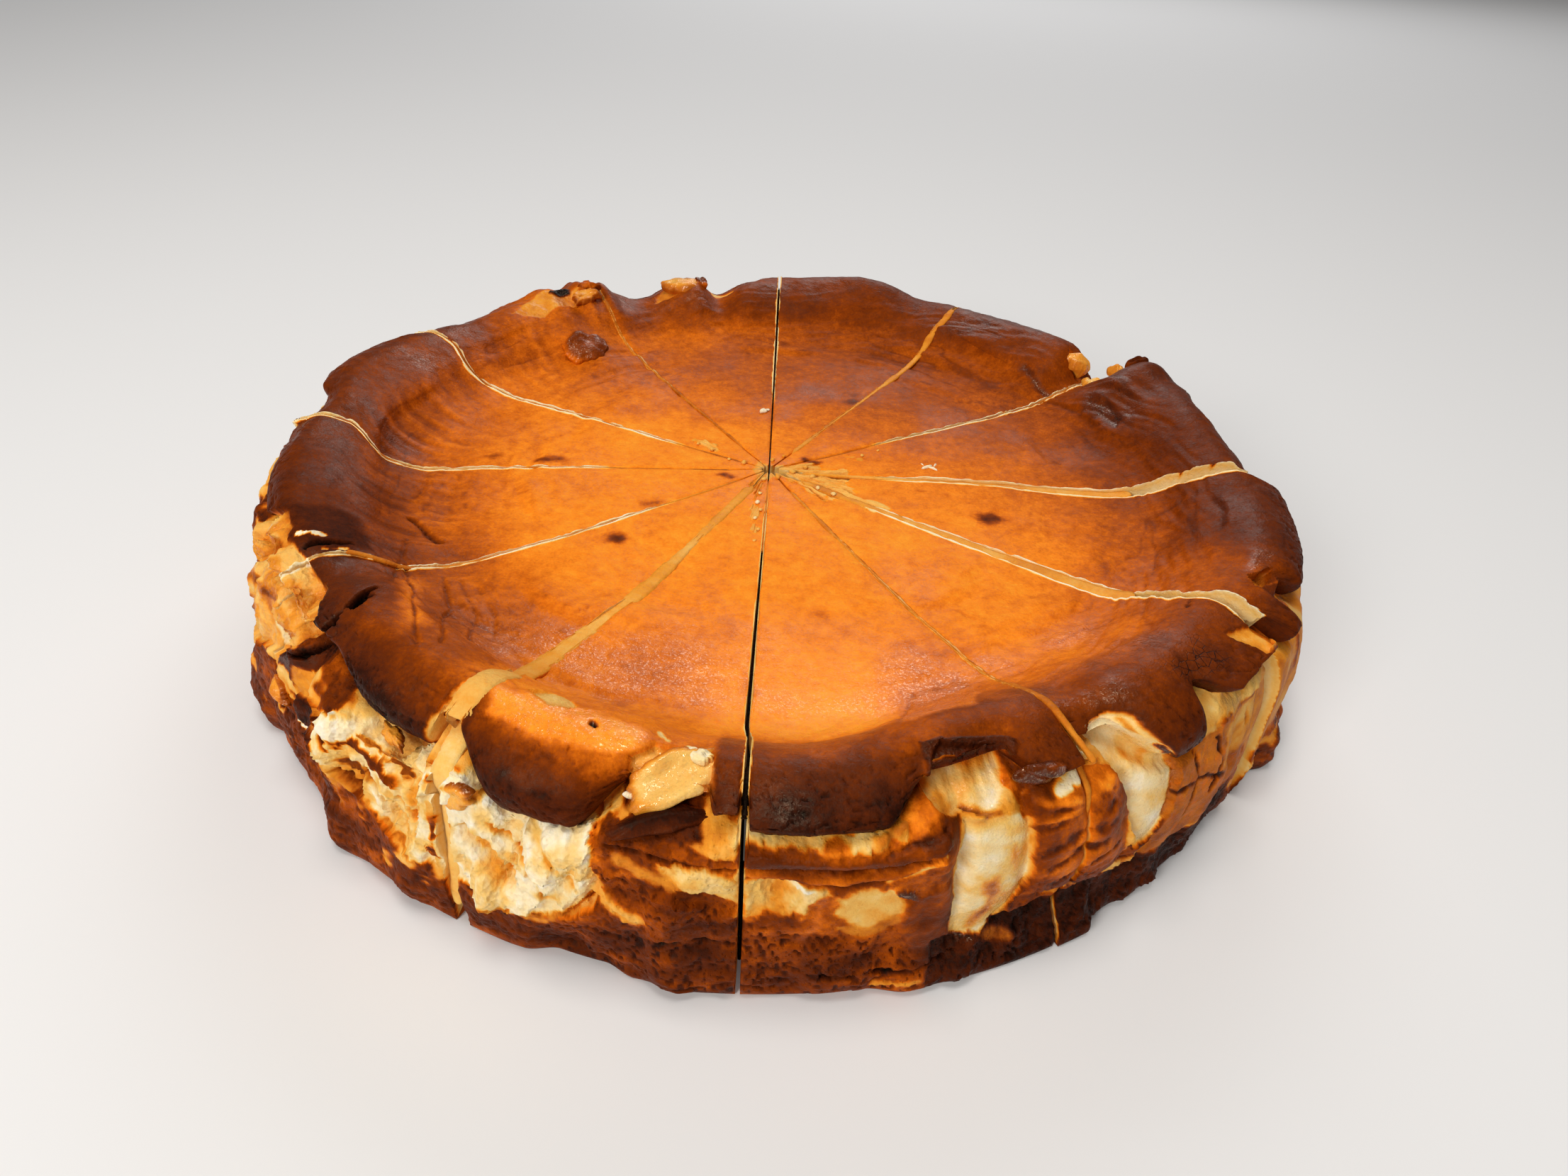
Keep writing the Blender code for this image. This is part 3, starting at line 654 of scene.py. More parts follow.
# Wall right of the cut in front: folds, bare curd and the hollow under the lip.
FRONT_RIGHT = (
    Mark(WALL, ((-90.8, 47), (-76, 47), (-73.5, 44), (-73.4, 0), (-90.8, 0)), bake=0.66, curd=0,
         torn=0.15, pores=0.25, push=0.3),
    Mark(WALL, ((-90.8, 20.6), (-86, 19.4), (-82, 16.4), (-77, 17.4), (-73.4, 14), (-73.4, 0),
         (-90.8, 0)), soft=2, ragged=1.4, bake=0.67, curd=0, pores=1, torn=0.1),
    Mark(WALL, ((-90.6, 44.6), (-88, 43.6), (-85, 43), (-81, 42.4), (-78.5, 43)), 1.5, 1.6, 0.24,
         ragged=1.2, curd=1, torn=0.3, push=0.6),
    Mark(WALL, ((-84.6, 42.4), (-83.2, 42.2)), 0.9, 1.6, 0.6, curd=0.2),
    Mark(WALL, ((-90.4, 39), (-86, 38.4), (-82, 37.8), (-78.6, 38.8), (-75.6, 41.6)), 1.9, 1.2,
         0.76, ragged=0.9, curd=0, gloss=0.6, pores=0, push=0.9),
    Mark(WALL, ((-80.6, 42), (-77.4, 44), (-75, 46.8)), 1, 1.5, 0.52, ragged=0.8, push=0.9),
    # Painted shade: dark lines sunk into the creases between the ridges.
    Mark(WALL, ((-80, 39.9), (-77, 41.6), (-74.8, 44.4)), 0.3, 1, 0.86, push=-1),
    Mark(WALL, ((-80, 44.4), (-77.6, 46.2), (-75.6, 49)), 0.3, 1, 0.84, push=-0.9),
    Mark(WALL, ((-90.4, 36), (-86, 35.6), (-82, 34.8), (-79, 35.8), (-76, 38.4)), 0.25, 0.8, 0.9,
         push=-1.1),
    Mark(WALL, ((-90.4, 34.4), (-87, 33.8), (-84, 32.4), (-81, 33), (-78.5, 34.4), (-75.6, 37)),
         0.8, 1.2, 0.57, curd=0, pores=0, push=0.7),
    # Painted shade: a dark line sunk into a crease.
    Mark(WALL, ((-84.6, 30.8), (-81.4, 31), (-78.6, 32.4)), 0.22, 0.8, 0.86, push=-0.8),
    Mark(WALL, ((-79.4, 31.4), (-77.4, 34), (-75.4, 38.6)), 0.45, 1, 0.32, curd=1),
    Mark(WALL, ((-90.7, 33.2), (-88, 32.4), (-85.4, 31.2), (-84.2, 29.8), (-84.8, 27.4),
         (-85.8, 23.6), (-87.4, 25), (-88.6, 24), (-90.6, 21.6)), soft=2.6, ragged=1.7, bake=0.24,
         curd=1, torn=0.7, pores=0),
    Mark(WALL, ((-88.6, 31.4), (-85.6, 30.2)), 0.7, 0.6, 0.03, ragged=1, curd=1, torn=0.9),
    Mark(WALL, ((-84.6, 27), (-85, 21), (-86, 16)), 1, 1.7, 0.62, curd=0, gloss=0.7, pores=0.2),
    Mark(WALL, ((-83.8, 28.2), (-81, 29), (-78.6, 28.8), (-77.9, 26), (-77.8, 22.5), (-79.4, 20.4),
         (-80.8, 18.8), (-82.4, 20.4), (-83.2, 24)), soft=2.8, ragged=1.3, bake=0.29, curd=1,
         torn=0.1, pores=0),
    Mark(WALL, ((-83.2, 20), (-80.8, 17.4), (-78, 20.4)), 0.6, 1.6, 0.46, curd=1),
    Mark(WALL, ((-78.4, 28.6), (-76.9, 26)), 0.8, 0.8, 0.86, curd=0, gloss=1, push=0.6),
    Mark(WALL, ((-77.2, 27), (-73.8, 28), (-72.9, 16), (-73, 8), (-76.4, 9.4), (-78, 18)),
         soft=1.8, bake=0.70, curd=0, gloss=0.5, pores=0.1, push=0.8),
    Mark(WALL, ((-90, 19.8), (-86, 18.8)), 1.2, 3, 0.54),
    # Painted shade: a dark line sunk into a crease near the foot.
    Mark(WALL, ((-84, 7.2), (-78, 6.2), (-72.6, 8.2)), 0.3, 0.8, 0.95, push=-1.3),
    Mark(WALL, ((-79.4, 3.2), (-75.8, 4)), 0.7, 1.4, 0.5, curd=1),
    Mark(WALL, ((-73, 41.8), (-70.6, 42.8), (-68, 40.8), (-67.4, 37), (-66.7, 30), (-66.5, 25),
         (-67.2, 18.5), (-68.7, 12), (-70.6, 9.8), (-72.4, 9.6), (-73.2, 14), (-73.2, 30)),
         soft=0.6, ragged=0.6, bake=0.22, curd=1, torn=0.04, pores=0, gloss=0.9, push=-0.6),
    Mark(WALL, ((-70.2, 25), (-70, 19), (-70.9, 13)), 1.2, 2.6, 0.50),
    Mark(WALL, ((-68.6, 33), (-68.2, 26)), 0.5, 2, 0.34),
    Mark(WALL, ((-66.8, 22), (-67.6, 17), (-69, 12)), 0.45, 0.6, 0.1, ragged=0.8, curd=1,
         torn=0.9),
    Mark(BOTH, ((-76, 46.5), (-75.6, 52), (-75, 57), (-74, 60.8), (-72.4, 59), (-69.6, 56),
         (-68.3, 54.6), (-68.1, 46), (-70.4, 43.4), (-73.8, 44.4)), soft=0.6, ragged=0.4,
         bake=0.20, curd=1, torn=0.05, pores=0, gloss=0.8, push=-1.8),
    # Painted shade: a golden stroke under the crust's edge over the arch.
    Mark(BOTH, ((-74.8, 59.4), (-72.4, 57.6), (-69.6, 55)), 0.4, 1.8, 0.46),
    Mark(BOTH, ((-76, 56), (-75.8, 49.8), (-73.4, 48.6), (-70.6, 47.8), (-68.4, 49.4), (-68, 56)),
         soft=2.2, ragged=0.8, bake=0.47, curd=0.5, torn=0, gloss=0.6),
    Mark(BOTH, ((-76, 62), (-75.8, 52), (-73.4, 51.2), (-70.6, 51), (-68, 52.2), (-67.2, 57),
         (-70, 59.4), (-73, 61.4)), soft=0.8, ragged=0.7, bake=0.84, curd=0, torn=0, gloss=0.6,
         push=0.5),
    Mark(BOTH, ((-72.6, 43.8), (-70.4, 43)), 0.8, 1.3, 0.52),
    Mark(BOTH, ((-75.8, 48.6), (-74.4, 46)), 0.9, 2.2, 0.44),
    Mark(WALL, ((-68.2, 46.5), (-67.2, 43), (-67.2, 39)), 0.9, 1.2, 0.58, curd=0),
    Mark(WALL, ((-67, 46), (-62, 47), (-58.6, 44), (-57.2, 36), (-56, 30), (-56.6, 20),
         (-58.5, 15.4), (-63, 18), (-66.4, 20), (-66.6, 30)), soft=0.8, ragged=0.8, bake=0.61,
         curd=0, torn=0.1, pores=0.1, gloss=0.5, push=0.8),
    Mark(WALL, ((-66.4, 23), (-57, 21), (-58, 14), (-66, 16)), soft=3.4, bake=0.73, pores=0.6),
    Mark(WALL, ((-66, 43), (-63, 41.4)), 1.2, 2.2, 0.44),
    Mark(WALL, ((-65.6, 36.4), (-62.8, 38.8)), 0.8, 1.8, 0.48),
    Mark(WALL, ((-60.6, 42), (-58.6, 38)), 0.8, 2, 0.48),
    # Painted shade: dark lines sunk into the pleats' grooves.
    Mark(WALL, ((-66, 40.8), (-63.4, 39.2), (-60, 38.8), (-58, 40)), 0.2, 1.6, 0.76, ragged=1.6,
         push=-0.4),
    Mark(WALL, ((-66.4, 34.6), (-63, 36.2), (-59.6, 35.2), (-57.6, 36)), 0.2, 1.6, 0.78,
         ragged=1.6, push=-0.4),
    Mark(WALL, ((-66, 29.4), (-62.4, 32.4), (-59, 32)), 0.2, 1.6, 0.78, ragged=1.6, push=-0.35),
    Mark(WALL, ((-65.6, 25.4), (-62, 28.4), (-57.4, 28.6)), 0.2, 1.6, 0.8, ragged=1.6, push=-0.35),
    Mark(WALL, ((-63.6, 21.8), (-60.4, 24.8), (-56.8, 25.2)), 0.2, 1, 0.84, ragged=0.9, push=-0.6),
    Mark(WALL, ((-64.6, 44.6), (-62.4, 45.6), (-60.6, 46.6)), 0.8, 0.9, 0.1, curd=1, torn=0.3),
    Mark(BOTH, ((-60.2, 51), (-59.2, 55.6), (-57.2, 58), (-55.4, 56), (-54.6, 50), (-52.6, 45),
         (-51.6, 39), (-50.8, 33), (-51.6, 25), (-53.2, 19), (-55, 20), (-56.4, 30), (-57.4, 38),
         (-58.2, 45), (-59.4, 48)), soft=0.5, ragged=0.5, bake=0.17, curd=1, torn=0.12, pores=0,
         gloss=0.8, push=-1.4),
    Mark(BOTH, ((-56.4, 55.4), (-55.8, 50.4)), 0.7, 1.3, 0.45),
    Mark(BOTH, ((-59.2, 42), (-58.2, 39.4)), 0.9, 1.4, 0.5),
    Mark(BOTH, ((-55.6, 44), (-54, 40)), 0.5, 1.4, 0.35),
    Mark(BOTH, ((-54, 47), (-52.4, 42.4), (-51, 38.6), (-50.4, 36)), 0.6, 0.8, 0.8, curd=0),
)

# Pleated wall at the right, with streaks of curd.
WALL_RIGHT = (
    Mark(WALL, ((-51.4, 40), (-36, 42), (-35.4, 14), (-52.4, 13)), soft=1, bake=0.54, curd=0.55,
         torn=0.2, pores=0.2),
    Mark(WALL, ((-35.6, 46), (-2, 46), (2, 14), (-35.6, 13)), soft=4, bake=0.47, curd=0.7,
         torn=0.1, pores=0.1),
    Mark(WALL, ((-44, 38), (-36.6, 40), (-36, 25), (-39.4, 23), (-43, 27)), soft=1.6, ragged=1.6,
         bake=0.41, curd=1, torn=0.1, gloss=0.3),
    # Painted shade: dark lines sunk into the pleats' grooves.
    Mark(WALL, ((-49, 38), (-47.4, 30), (-48, 21)), 0.35, 0.9, 0.9, push=-0.9),
    Mark(WALL, ((-45, 37), (-44, 30), (-45, 24)), 0.3, 0.9, 0.88, push=-0.8),
    Mark(WALL, ((-41.6, 38), (-40.8, 31), (-41.6, 26)), 0.3, 0.9, 0.6, push=-0.6),
    Mark(WALL, ((-38.4, 36), (-37.4, 31)), 0.4, 1, 0.56, push=-0.5),
    Mark(WALL, ((-51, 30), (-46, 28.6), (-42, 25)), 0.3, 0.8, 0.9, push=-0.5),
    Mark(WALL, ((-32, 44), (-30.6, 34), (-30.4, 22)), 1.8, 3, 0.34, curd=1),
    Mark(WALL, ((-27.4, 43), (-27, 30)), 0.8, 1.6, 0.66, curd=0),
    Mark(WALL, ((-24.6, 44), (-23.4, 32), (-24, 18)), 2.4, 3, 0.30, curd=1),
    Mark(WALL, ((-15, 43), (-13, 30), (-13.4, 20)), 2, 3, 0.34, curd=1),
    Mark(WALL, ((-6.4, 42), (-5.4, 30)), 1.8, 2.6, 0.3, curd=1),
    Mark(WALL, ((-75, 13.4), (-70.4, 10.6), (-66, 13), (-52, 13), (-36, 12), (-36, 0), (-75, 0)),
         soft=1.2, bake=0.86, curd=0, torn=0.7, pores=0.4),
    Mark(WALL, ((-69.4, 9), (-66.8, 7)), 1, 1.8, 0.5, curd=1),
)

# Tears, creases and shine of the lip and slope.
LIP_MARKS = (
    Mark(LIP, ((-111.4, 66), (-110.2, 69.6), (-107.2, 68.6), (-106.6, 65), (-108.6, 63.4)),
         soft=0.4, ragged=0.5, bake=0.28, curd=1, torn=0.3, push=-0.7),
    Mark(LIP, ((-114.2, 65), (-114.8, 58), (-115.2, 50), (-115.4, 43), (-115.2, 37)), 0.9, 0.5,
         0.30, ragged=0.5, curd=1, torn=0.35, push=-0.8),
    Mark(LIP, ((-114.2, 66), (-108.8, 63), (-104.6, 66.6), (-102, 69)), 0.4, 1.4, 0.46, push=0.3),
    Mark(LIP, ((-113.8, 63), (-112.8, 57), (-108, 55.8), (-101, 57), (-99.4, 60), (-99.4, 64),
         (-105, 66)), soft=2.4, bake=0.37, gloss=1),
    Mark(LIP, ((-114.3, 57), (-113.6, 50), (-112.4, 44), (-110, 37), (-107, 34.4), (-104, 35),
         (-101.8, 40), (-100.6, 46)), 0.6, 2, 0.88),
    # Painted shade: a black spot sunk into a pit.
    Mark(LIP, ((-104.1, 62.4), (-103.7, 62)), 0.4, 0.5, 1, ragged=0.5, push=-0.8),
    Mark(BOTH, ((-99.8, 44), (-100, 56), (-98.4, 62), (-95, 62.6), (-93.2, 60), (-93.2, 50),
         (-94, 47), (-97, 44)), soft=0.8, ragged=0.4, bake=0.44, curd=1, torn=0.05, pores=0,
         gloss=1, push=-1.6),
    Mark(BOTH, ((-94.6, 61), (-93.6, 57), (-93.4, 53)), 0.7, 1.6, 0.50),
    Mark(BOTH, ((-98.6, 65.4), (-97.6, 63.8)), 0.4, 0.6, 0.2, curd=1),
    Mark(BOTH, ((-99.4, 40), (-97, 42.6), (-94, 46), (-93.6, 42), (-97.8, 38)), soft=1.6,
         bake=0.78, curd=0),
    Mark(LIP, ((-30, 64), (-28.4, 66), (-26, 63.6), (-24.8, 60.6), (-26.6, 58.4), (-29, 60)),
         soft=0.4, bake=0.46, curd=1, torn=0.8, push=-2),
    Mark(LIP, ((-28, 58.6), (-26.6, 55)), 0.6, 1, 0.6),
    Mark(LIP, ((-48.6, 62), (-41.6, 64), (-41, 57), (-47, 56)), soft=4, ragged=1.5, cracks=0.45),
    Mark(LIP, ((-130, 47), (-118, 47), (-118, 38), (-130, 38)), soft=3, cracks=0.4),
    Mark(LIP, ((-62, 66), (-54, 66), (-54, 60), (-62, 60)), soft=3, gloss=0.8),
    Mark(LIP, ((-76, 67), (-62, 67), (-62, 62), (-76, 62)), soft=3, gloss=0.5),
    Mark(LIP, ((-27.4, 67), (-22, 67), (-22, 62), (-27, 60)), soft=3, gloss=0.9),
    Mark(LIP, ((-151, 74), (-143.6, 74), (-141, 66), (-144.6, 60), (-151, 60)), soft=5, bake=0.85,
         gloss=0.1),
    # Painted shade: a black line sunk into a crevice.
    Mark(LIP, ((-143.4, 70), (-143, 61)), 0.7, 0.6, 1, push=-1),
    Mark(LIP, ((-142.4, 69), (-142.2, 64)), 0.25, 0.4, 0.1, curd=1, torn=0.3),
    Mark(LIP, ((-144.6, 65), (-145.2, 61)), 0.5, 0.4, 0.05, curd=1, torn=0.5),
    Mark(LIP, ((-138, 80), (-131, 74), (-126, 69)), 2.6, 5, 0.46),
    # Painted shade: dark strokes sunk into the creases and wrinkles.
    Mark(LIP, ((-157.4, 86.4), (-153.5, 89.4), (-149, 91.4)), 0.5, 2.2, 0.84, ragged=0.3,
         push=-1.2),
    Mark(LIP, ((-142, 81), (-134, 78), (-127, 70), (-122, 63.6)), 0.2, 1.2, 0.74, ragged=0.4,
         push=-0.6),
    Mark(LIP, ((-139, 87.4), (-130, 82.6), (-124, 73), (-121, 67)), 0.2, 1.2, 0.7, ragged=0.4,
         push=-0.55),
    Mark(LIP, ((-137, 90.6), (-128, 86.6), (-122, 78)), 0.2, 1.2, 0.68, ragged=0.4, push=-0.5),
    Mark(LIP, ((-134, 92.6), (-126, 89.6), (-121.6, 83)), 0.2, 1, 0.6, ragged=0.4, push=-0.35),
    Mark(LIP, ((-150, 84), (-143, 80.6), (-136, 74)), 0.2, 1.2, 0.76, ragged=0.4, push=-0.5),
    Mark(LIP, ((-130.5, 64), (-124, 65), (-118, 64), (-114.8, 64.6)), 0.3, 1, 0.62, push=-0.3),
    Mark(LIP, ((-76.2, 69), (-74.8, 78), (-71.4, 88), (-68, 92.4), (-64.2, 92), (-65.8, 80),
         (-68.4, 70)), soft=2.4, bake=0.50, gloss=1),
    # Painted shade: a dark stroke sunk into a crease.
    Mark(LIP, ((-76.6, 67), (-75.6, 73), (-74.4, 80), (-71.6, 88)), 0.3, 2, 0.6, push=-0.3),
    Mark(LIP, ((24, 84), (15, 82), (14, 86), (22, 88.6)), soft=4, ragged=1.2, bake=0.83, gloss=0.9,
         push=-0.8),
    # Painted shade: dark strokes sunk into creases.
    Mark(LIP, ((29.4, 90), (24, 90.6), (16.6, 89.4)), 0.6, 2.4, 0.74, push=-0.6),
    Mark(LIP, ((38, 86), (33, 88.6), (30.6, 87)), 1, 2.6, 0.78, gloss=0.9, push=-0.5),
    Mark(LIP, ((-36.4, 70.6), (-33.6, 71.6)), 0.3, 0.8, 0.9, push=-0.6),
    Mark(BOTH, ((-38, 60), (-36, 59.5), (-34.2, 57), (-33.8, 54), (-34.6, 52.4), (-37, 54)),
         soft=0.4, ragged=0.4, bake=0.42, curd=1, gloss=0.3, push=-1.2),
    Mark(LIP, ((36, 67), (33.6, 70), (30, 69.5), (26.4, 70), (25, 65), (29, 62), (34, 60)),
         soft=0.5, bake=0.36, curd=1, torn=0.7, push=-2.4),
    Mark(LIP, ((113, 70), (109, 72.4), (105, 70), (104, 64), (110, 62)), soft=0.8, bake=0.46,
         curd=1, torn=0.3, gloss=0.7, push=-0.4),
    Mark(LIP, ((102, 70), (98.6, 70), (98, 64), (103, 62)), soft=0.7, bake=0.26, curd=1, torn=0.3),
    Mark(LIP, ((140, 67), (136, 73), (128, 72), (126, 66), (132, 62)), soft=1.4, bake=0.42,
         curd=0.9, torn=0.5, gloss=0.7, push=-0.5),
    Mark(LIP, ((131, 65), (128, 64.4)), 1.3, 0.6, 1, curd=0, push=0.8),
)

# Dark spots on the dish, then curd that the knife left about its middle.
DISH_MARKS = (
    Mark(DISH, ((51, -18.6), (53.2, -18.2)), 1.6, 4.6, 0.82, ragged=1),
    Mark(DISH, ((-34, -35.6), (-33.2, -36)), 1.2, 4.6, 0.78, ragged=1),
    Mark(DISH, ((-59, -0.6), (-54, 0.6)), 0.8, 3.6, 0.74, ragged=0.8),
    Mark(DISH, ((-72, 0.4), (-69.6, 0.8)), 0.6, 3.4, 0.68, ragged=0.8),
    Mark(DISH, ((24, 47), (25, 48)), 0.8, 3.6, 0.72, ragged=0.8),
    Mark(DISH, ((22.4, 42.4), (24, 43)), 1, 3.6, 0.76, ragged=0.8),
    Mark(DISH, ((-11.6, -3.6), (-8.8, -5)), 0.8, 2.2, 0.76, ragged=0.8),
    Mark(DISH, ((8.6, 5.4), (11, 4.4)), 1, 1.8, 0.72, ragged=1),
    Mark(DISH, ((-29.6, -20), (-26, -19)), 0.8, 4, 0.60),
    Mark(DISH, ((35, -6), (36, -6.4)), 0.6, 3.6, 0.56),
    Mark(DISH, ((66, -12.6), (67, -13)), 0.6, 4, 0.54),
    Mark(DISH, ((12, -61.6), (13.4, -62.2)), 1, 5, 0.54),
    Mark(DISH, ((-50, -54.6), (-49, -55.4)), 1, 5, 0.54),
    Mark(DISH, ((33, -40), (34.6, -40.4)), 0.6, 4, 0.5),
    Mark(DISH, ((53, 24), (54, 25)), 0.6, 3.6, 0.56),
    Mark(DISH, ((8.4, 4), (13, 1), (19, 1.6), (16.4, -4), (18, -8.6), (13, -13.4), (10, -11),
         (8.6, -6), (2, -3), (-3.4, -6), (-2, 3), (2, 2.6)), soft=0.6, ragged=1.8, bake=0.34,
         curd=1, torn=0.45, push=-0.35),
    Mark(DISH, ((-22, 14), (-17.4, 13.2), (-14, 9)), 1, 0.8, 0.34, ragged=1.6, curd=1, torn=0.3),
    Mark(DISH, ((12, -9), (20, -12.4), (26, -16)), 1.3, 0.6, 0.32, ragged=1.2, curd=1, torn=0.2),
    Mark(DISH, ((20, 9), (22.6, 7.6)), 0.8, 0.6, 0.4, ragged=1.2, curd=1, torn=0.3),
    Mark(DISH, ((-2.4, -6), (-3, -16), (-2.6, -28)), 0.7, 0.6, 0.36, ragged=1.5, curd=1, torn=0.4),
)

MARKS = (
    *TORN_SIDE_LEFT,
    *TORN_SLICE_08,
    *TORN_SLICE_07,
    *FRONT_RIGHT,
    *WALL_RIGHT,
    *LIP_MARKS,
    *DISH_MARKS,
)


@dataclass(frozen=True)
class Tone:
    """How far the crust is baked at an azimuth: dish's edge, slope, crest, lip and hem; the hem's
    dark value is partly the crust's own and partly painted shade under the lip.
    """

    azimuth: float
    edge: float
    slope: float
    crest: float
    lip: float
    hem: float


# The hem column is the crust's own dark edge with painted shade under the lip added to it.
TONES = table(
    Tone,
    (-176, 0.53, 0.64, 0.70, 0.74, 0.80),
    (-160, 0.56, 0.68, 0.74, 0.78, 0.88),
    (-147, 0.58, 0.68, 0.77, 0.84, 0.92),
    (-136, 0.55, 0.60, 0.76, 0.84, 0.95),
    (-126, 0.56, 0.59, 0.62, 0.79, 0.92),
    (-119, 0.52, 0.55, 0.61, 0.72, 0.92),
    (-112.5, 0.45, 0.42, 0.44, 0.64, 0.88),
    (-104, 0.50, 0.46, 0.44, 0.57, 0.86),
    (-97, 0.47, 0.46, 0.47, 0.52, 0.60),
    (-93.8, 0.43, 0.40, 0.47, 0.56, 0.66),
    (-92.6, 0.42, 0.38, 0.64, 0.72, 0.84),
    (-84, 0.39, 0.34, 0.58, 0.80, 0.90),
    (-78, 0.40, 0.36, 0.60, 0.79, 0.98),
    (-70, 0.47, 0.52, 0.68, 0.74, 0.84),
    (-64, 0.47, 0.52, 0.64, 0.76, 0.84),
    (-55, 0.46, 0.48, 0.68, 0.76, 0.82),
    (-46, 0.47, 0.49, 0.67, 0.78, 0.86),
    (-37, 0.50, 0.54, 0.67, 0.76, 0.84),
    (-28, 0.55, 0.60, 0.66, 0.78, 0.84),
    (-16, 0.60, 0.72, 0.77, 0.80, 0.86),
    (6, 0.68, 0.77, 0.77, 0.80, 0.86),
    (22, 0.66, 0.74, 0.77, 0.82, 0.88),
    (32, 0.65, 0.66, 0.68, 0.66, 0.72),
    (48, 0.62, 0.71, 0.75, 0.80, 0.86),
    (66, 0.64, 0.71, 0.74, 0.80, 0.84),
    (88, 0.61, 0.74, 0.70, 0.78, 0.84),
    (104, 0.54, 0.66, 0.62, 0.62, 0.66),
    (118, 0.54, 0.62, 0.66, 0.72, 0.82),
    (134, 0.54, 0.54, 0.54, 0.58, 0.66),
    (150, 0.49, 0.57, 0.66, 0.74, 0.82),
    (168, 0.51, 0.60, 0.66, 0.74, 0.80),
)


@dataclass
class Surface:
    """Spots of the cake's outside: where each lies, and how it looks.

    Places are those of the whole cake, before the slices part. bake is how far a spot is
    baked, with painted shade in creases, pits and hollows added to it, and curd, gloss,
    torn, pores and cracks go from 0 to 1. push moves it out.
    """

    azimuth: Array
    reach: Array
    height: Array
    place: Array
    along: Array
    x: Array
    y: Array
    bake: Array
    curd: Array
    gloss: Array
    torn: Array
    pores: Array
    cracks: Array
    push: Array

    @classmethod
    def lay_out(cls, azimuth: Array, reach: Array, height: Array, place: Array) -> Surface:
        """Set up the spots of an outline.

        Args:
            azimuth: Azimuth of each column.
            reach: Distances from where the cuts meet, (row, column).
            height: Heights, (row, column).
            place: Station at which each row lies.

        Returns:
            The spots, with nothing painted yet.
        """
        whole = np.broadcast_to(azimuth[None, :], reach.shape)
        angle = np.radians(whole)
        outer = np.interp(
            height,
            (0.0, 36.0, 40.0, 45.0, 48.0, 50.0),
            (0.0, 36.0, 44.0, 50.0, 55.0, 60.0),
        )
        wider = 4.0 * np.cos(angle) + np.sin(angle)
        inner = np.interp(
            reach - wider,
            (0.0, 85.0, 90.0, 94.0, 99.0, 103.0, 107.0, 112.0, 117.0, 130.0),
            (180.0, 95.0, 90.0, 85.0, 80.0, 75.0, 70.0, 65.0, 60.0, 47.0),
        )
        over = smooth((place - Station.LIP.value) / 2.0)[:, None]
        blank = [np.zeros(reach.shape) for _ in range(7)]
        along = mix(outer, inner, over)
        x, y = reach * np.cos(angle), reach * np.sin(angle)
        return cls(whole, reach, height, place, along, x, y, *blank)

    def past(self, along: float, over: float) -> Array:
        """0 up to a place along the outline, easing to 1 over the next stretch."""
        return smooth((self.along - along) / over)

    def arc(self, radius: float) -> Array:
        """Length round the cake, at a radius."""
        return np.radians(self.azimuth) * radius

    def on_lip(self) -> Array:
        """0 on the wall, easing to 1 over the hem."""
        return smooth((self.place - Station.HEM.value) / 1.5)[:, None]


@dataclass(frozen=True)
class Relief:
    """How far each kind of relief stands out or sinks in."""

    flake: float = 0.95
    flake_lip: float = 0.25
    crisp: float = 0.12
    pore: float = 0.45
    leather: float = 0.24
    grain: float = 0.08
    lip_crack: float = 0.4
    slope_wave: float = 0.55
    slope_crease: float = 0.15
    ripple: float = 0.26
    fold: float = 0.34
    dish_wave: float = 0.35
    dish_grain: float = 0.06
    wall_fold: float = 0.65
    pleat: float = 0.42
    most_in: float = 4.2
    most_out: float = 2.6


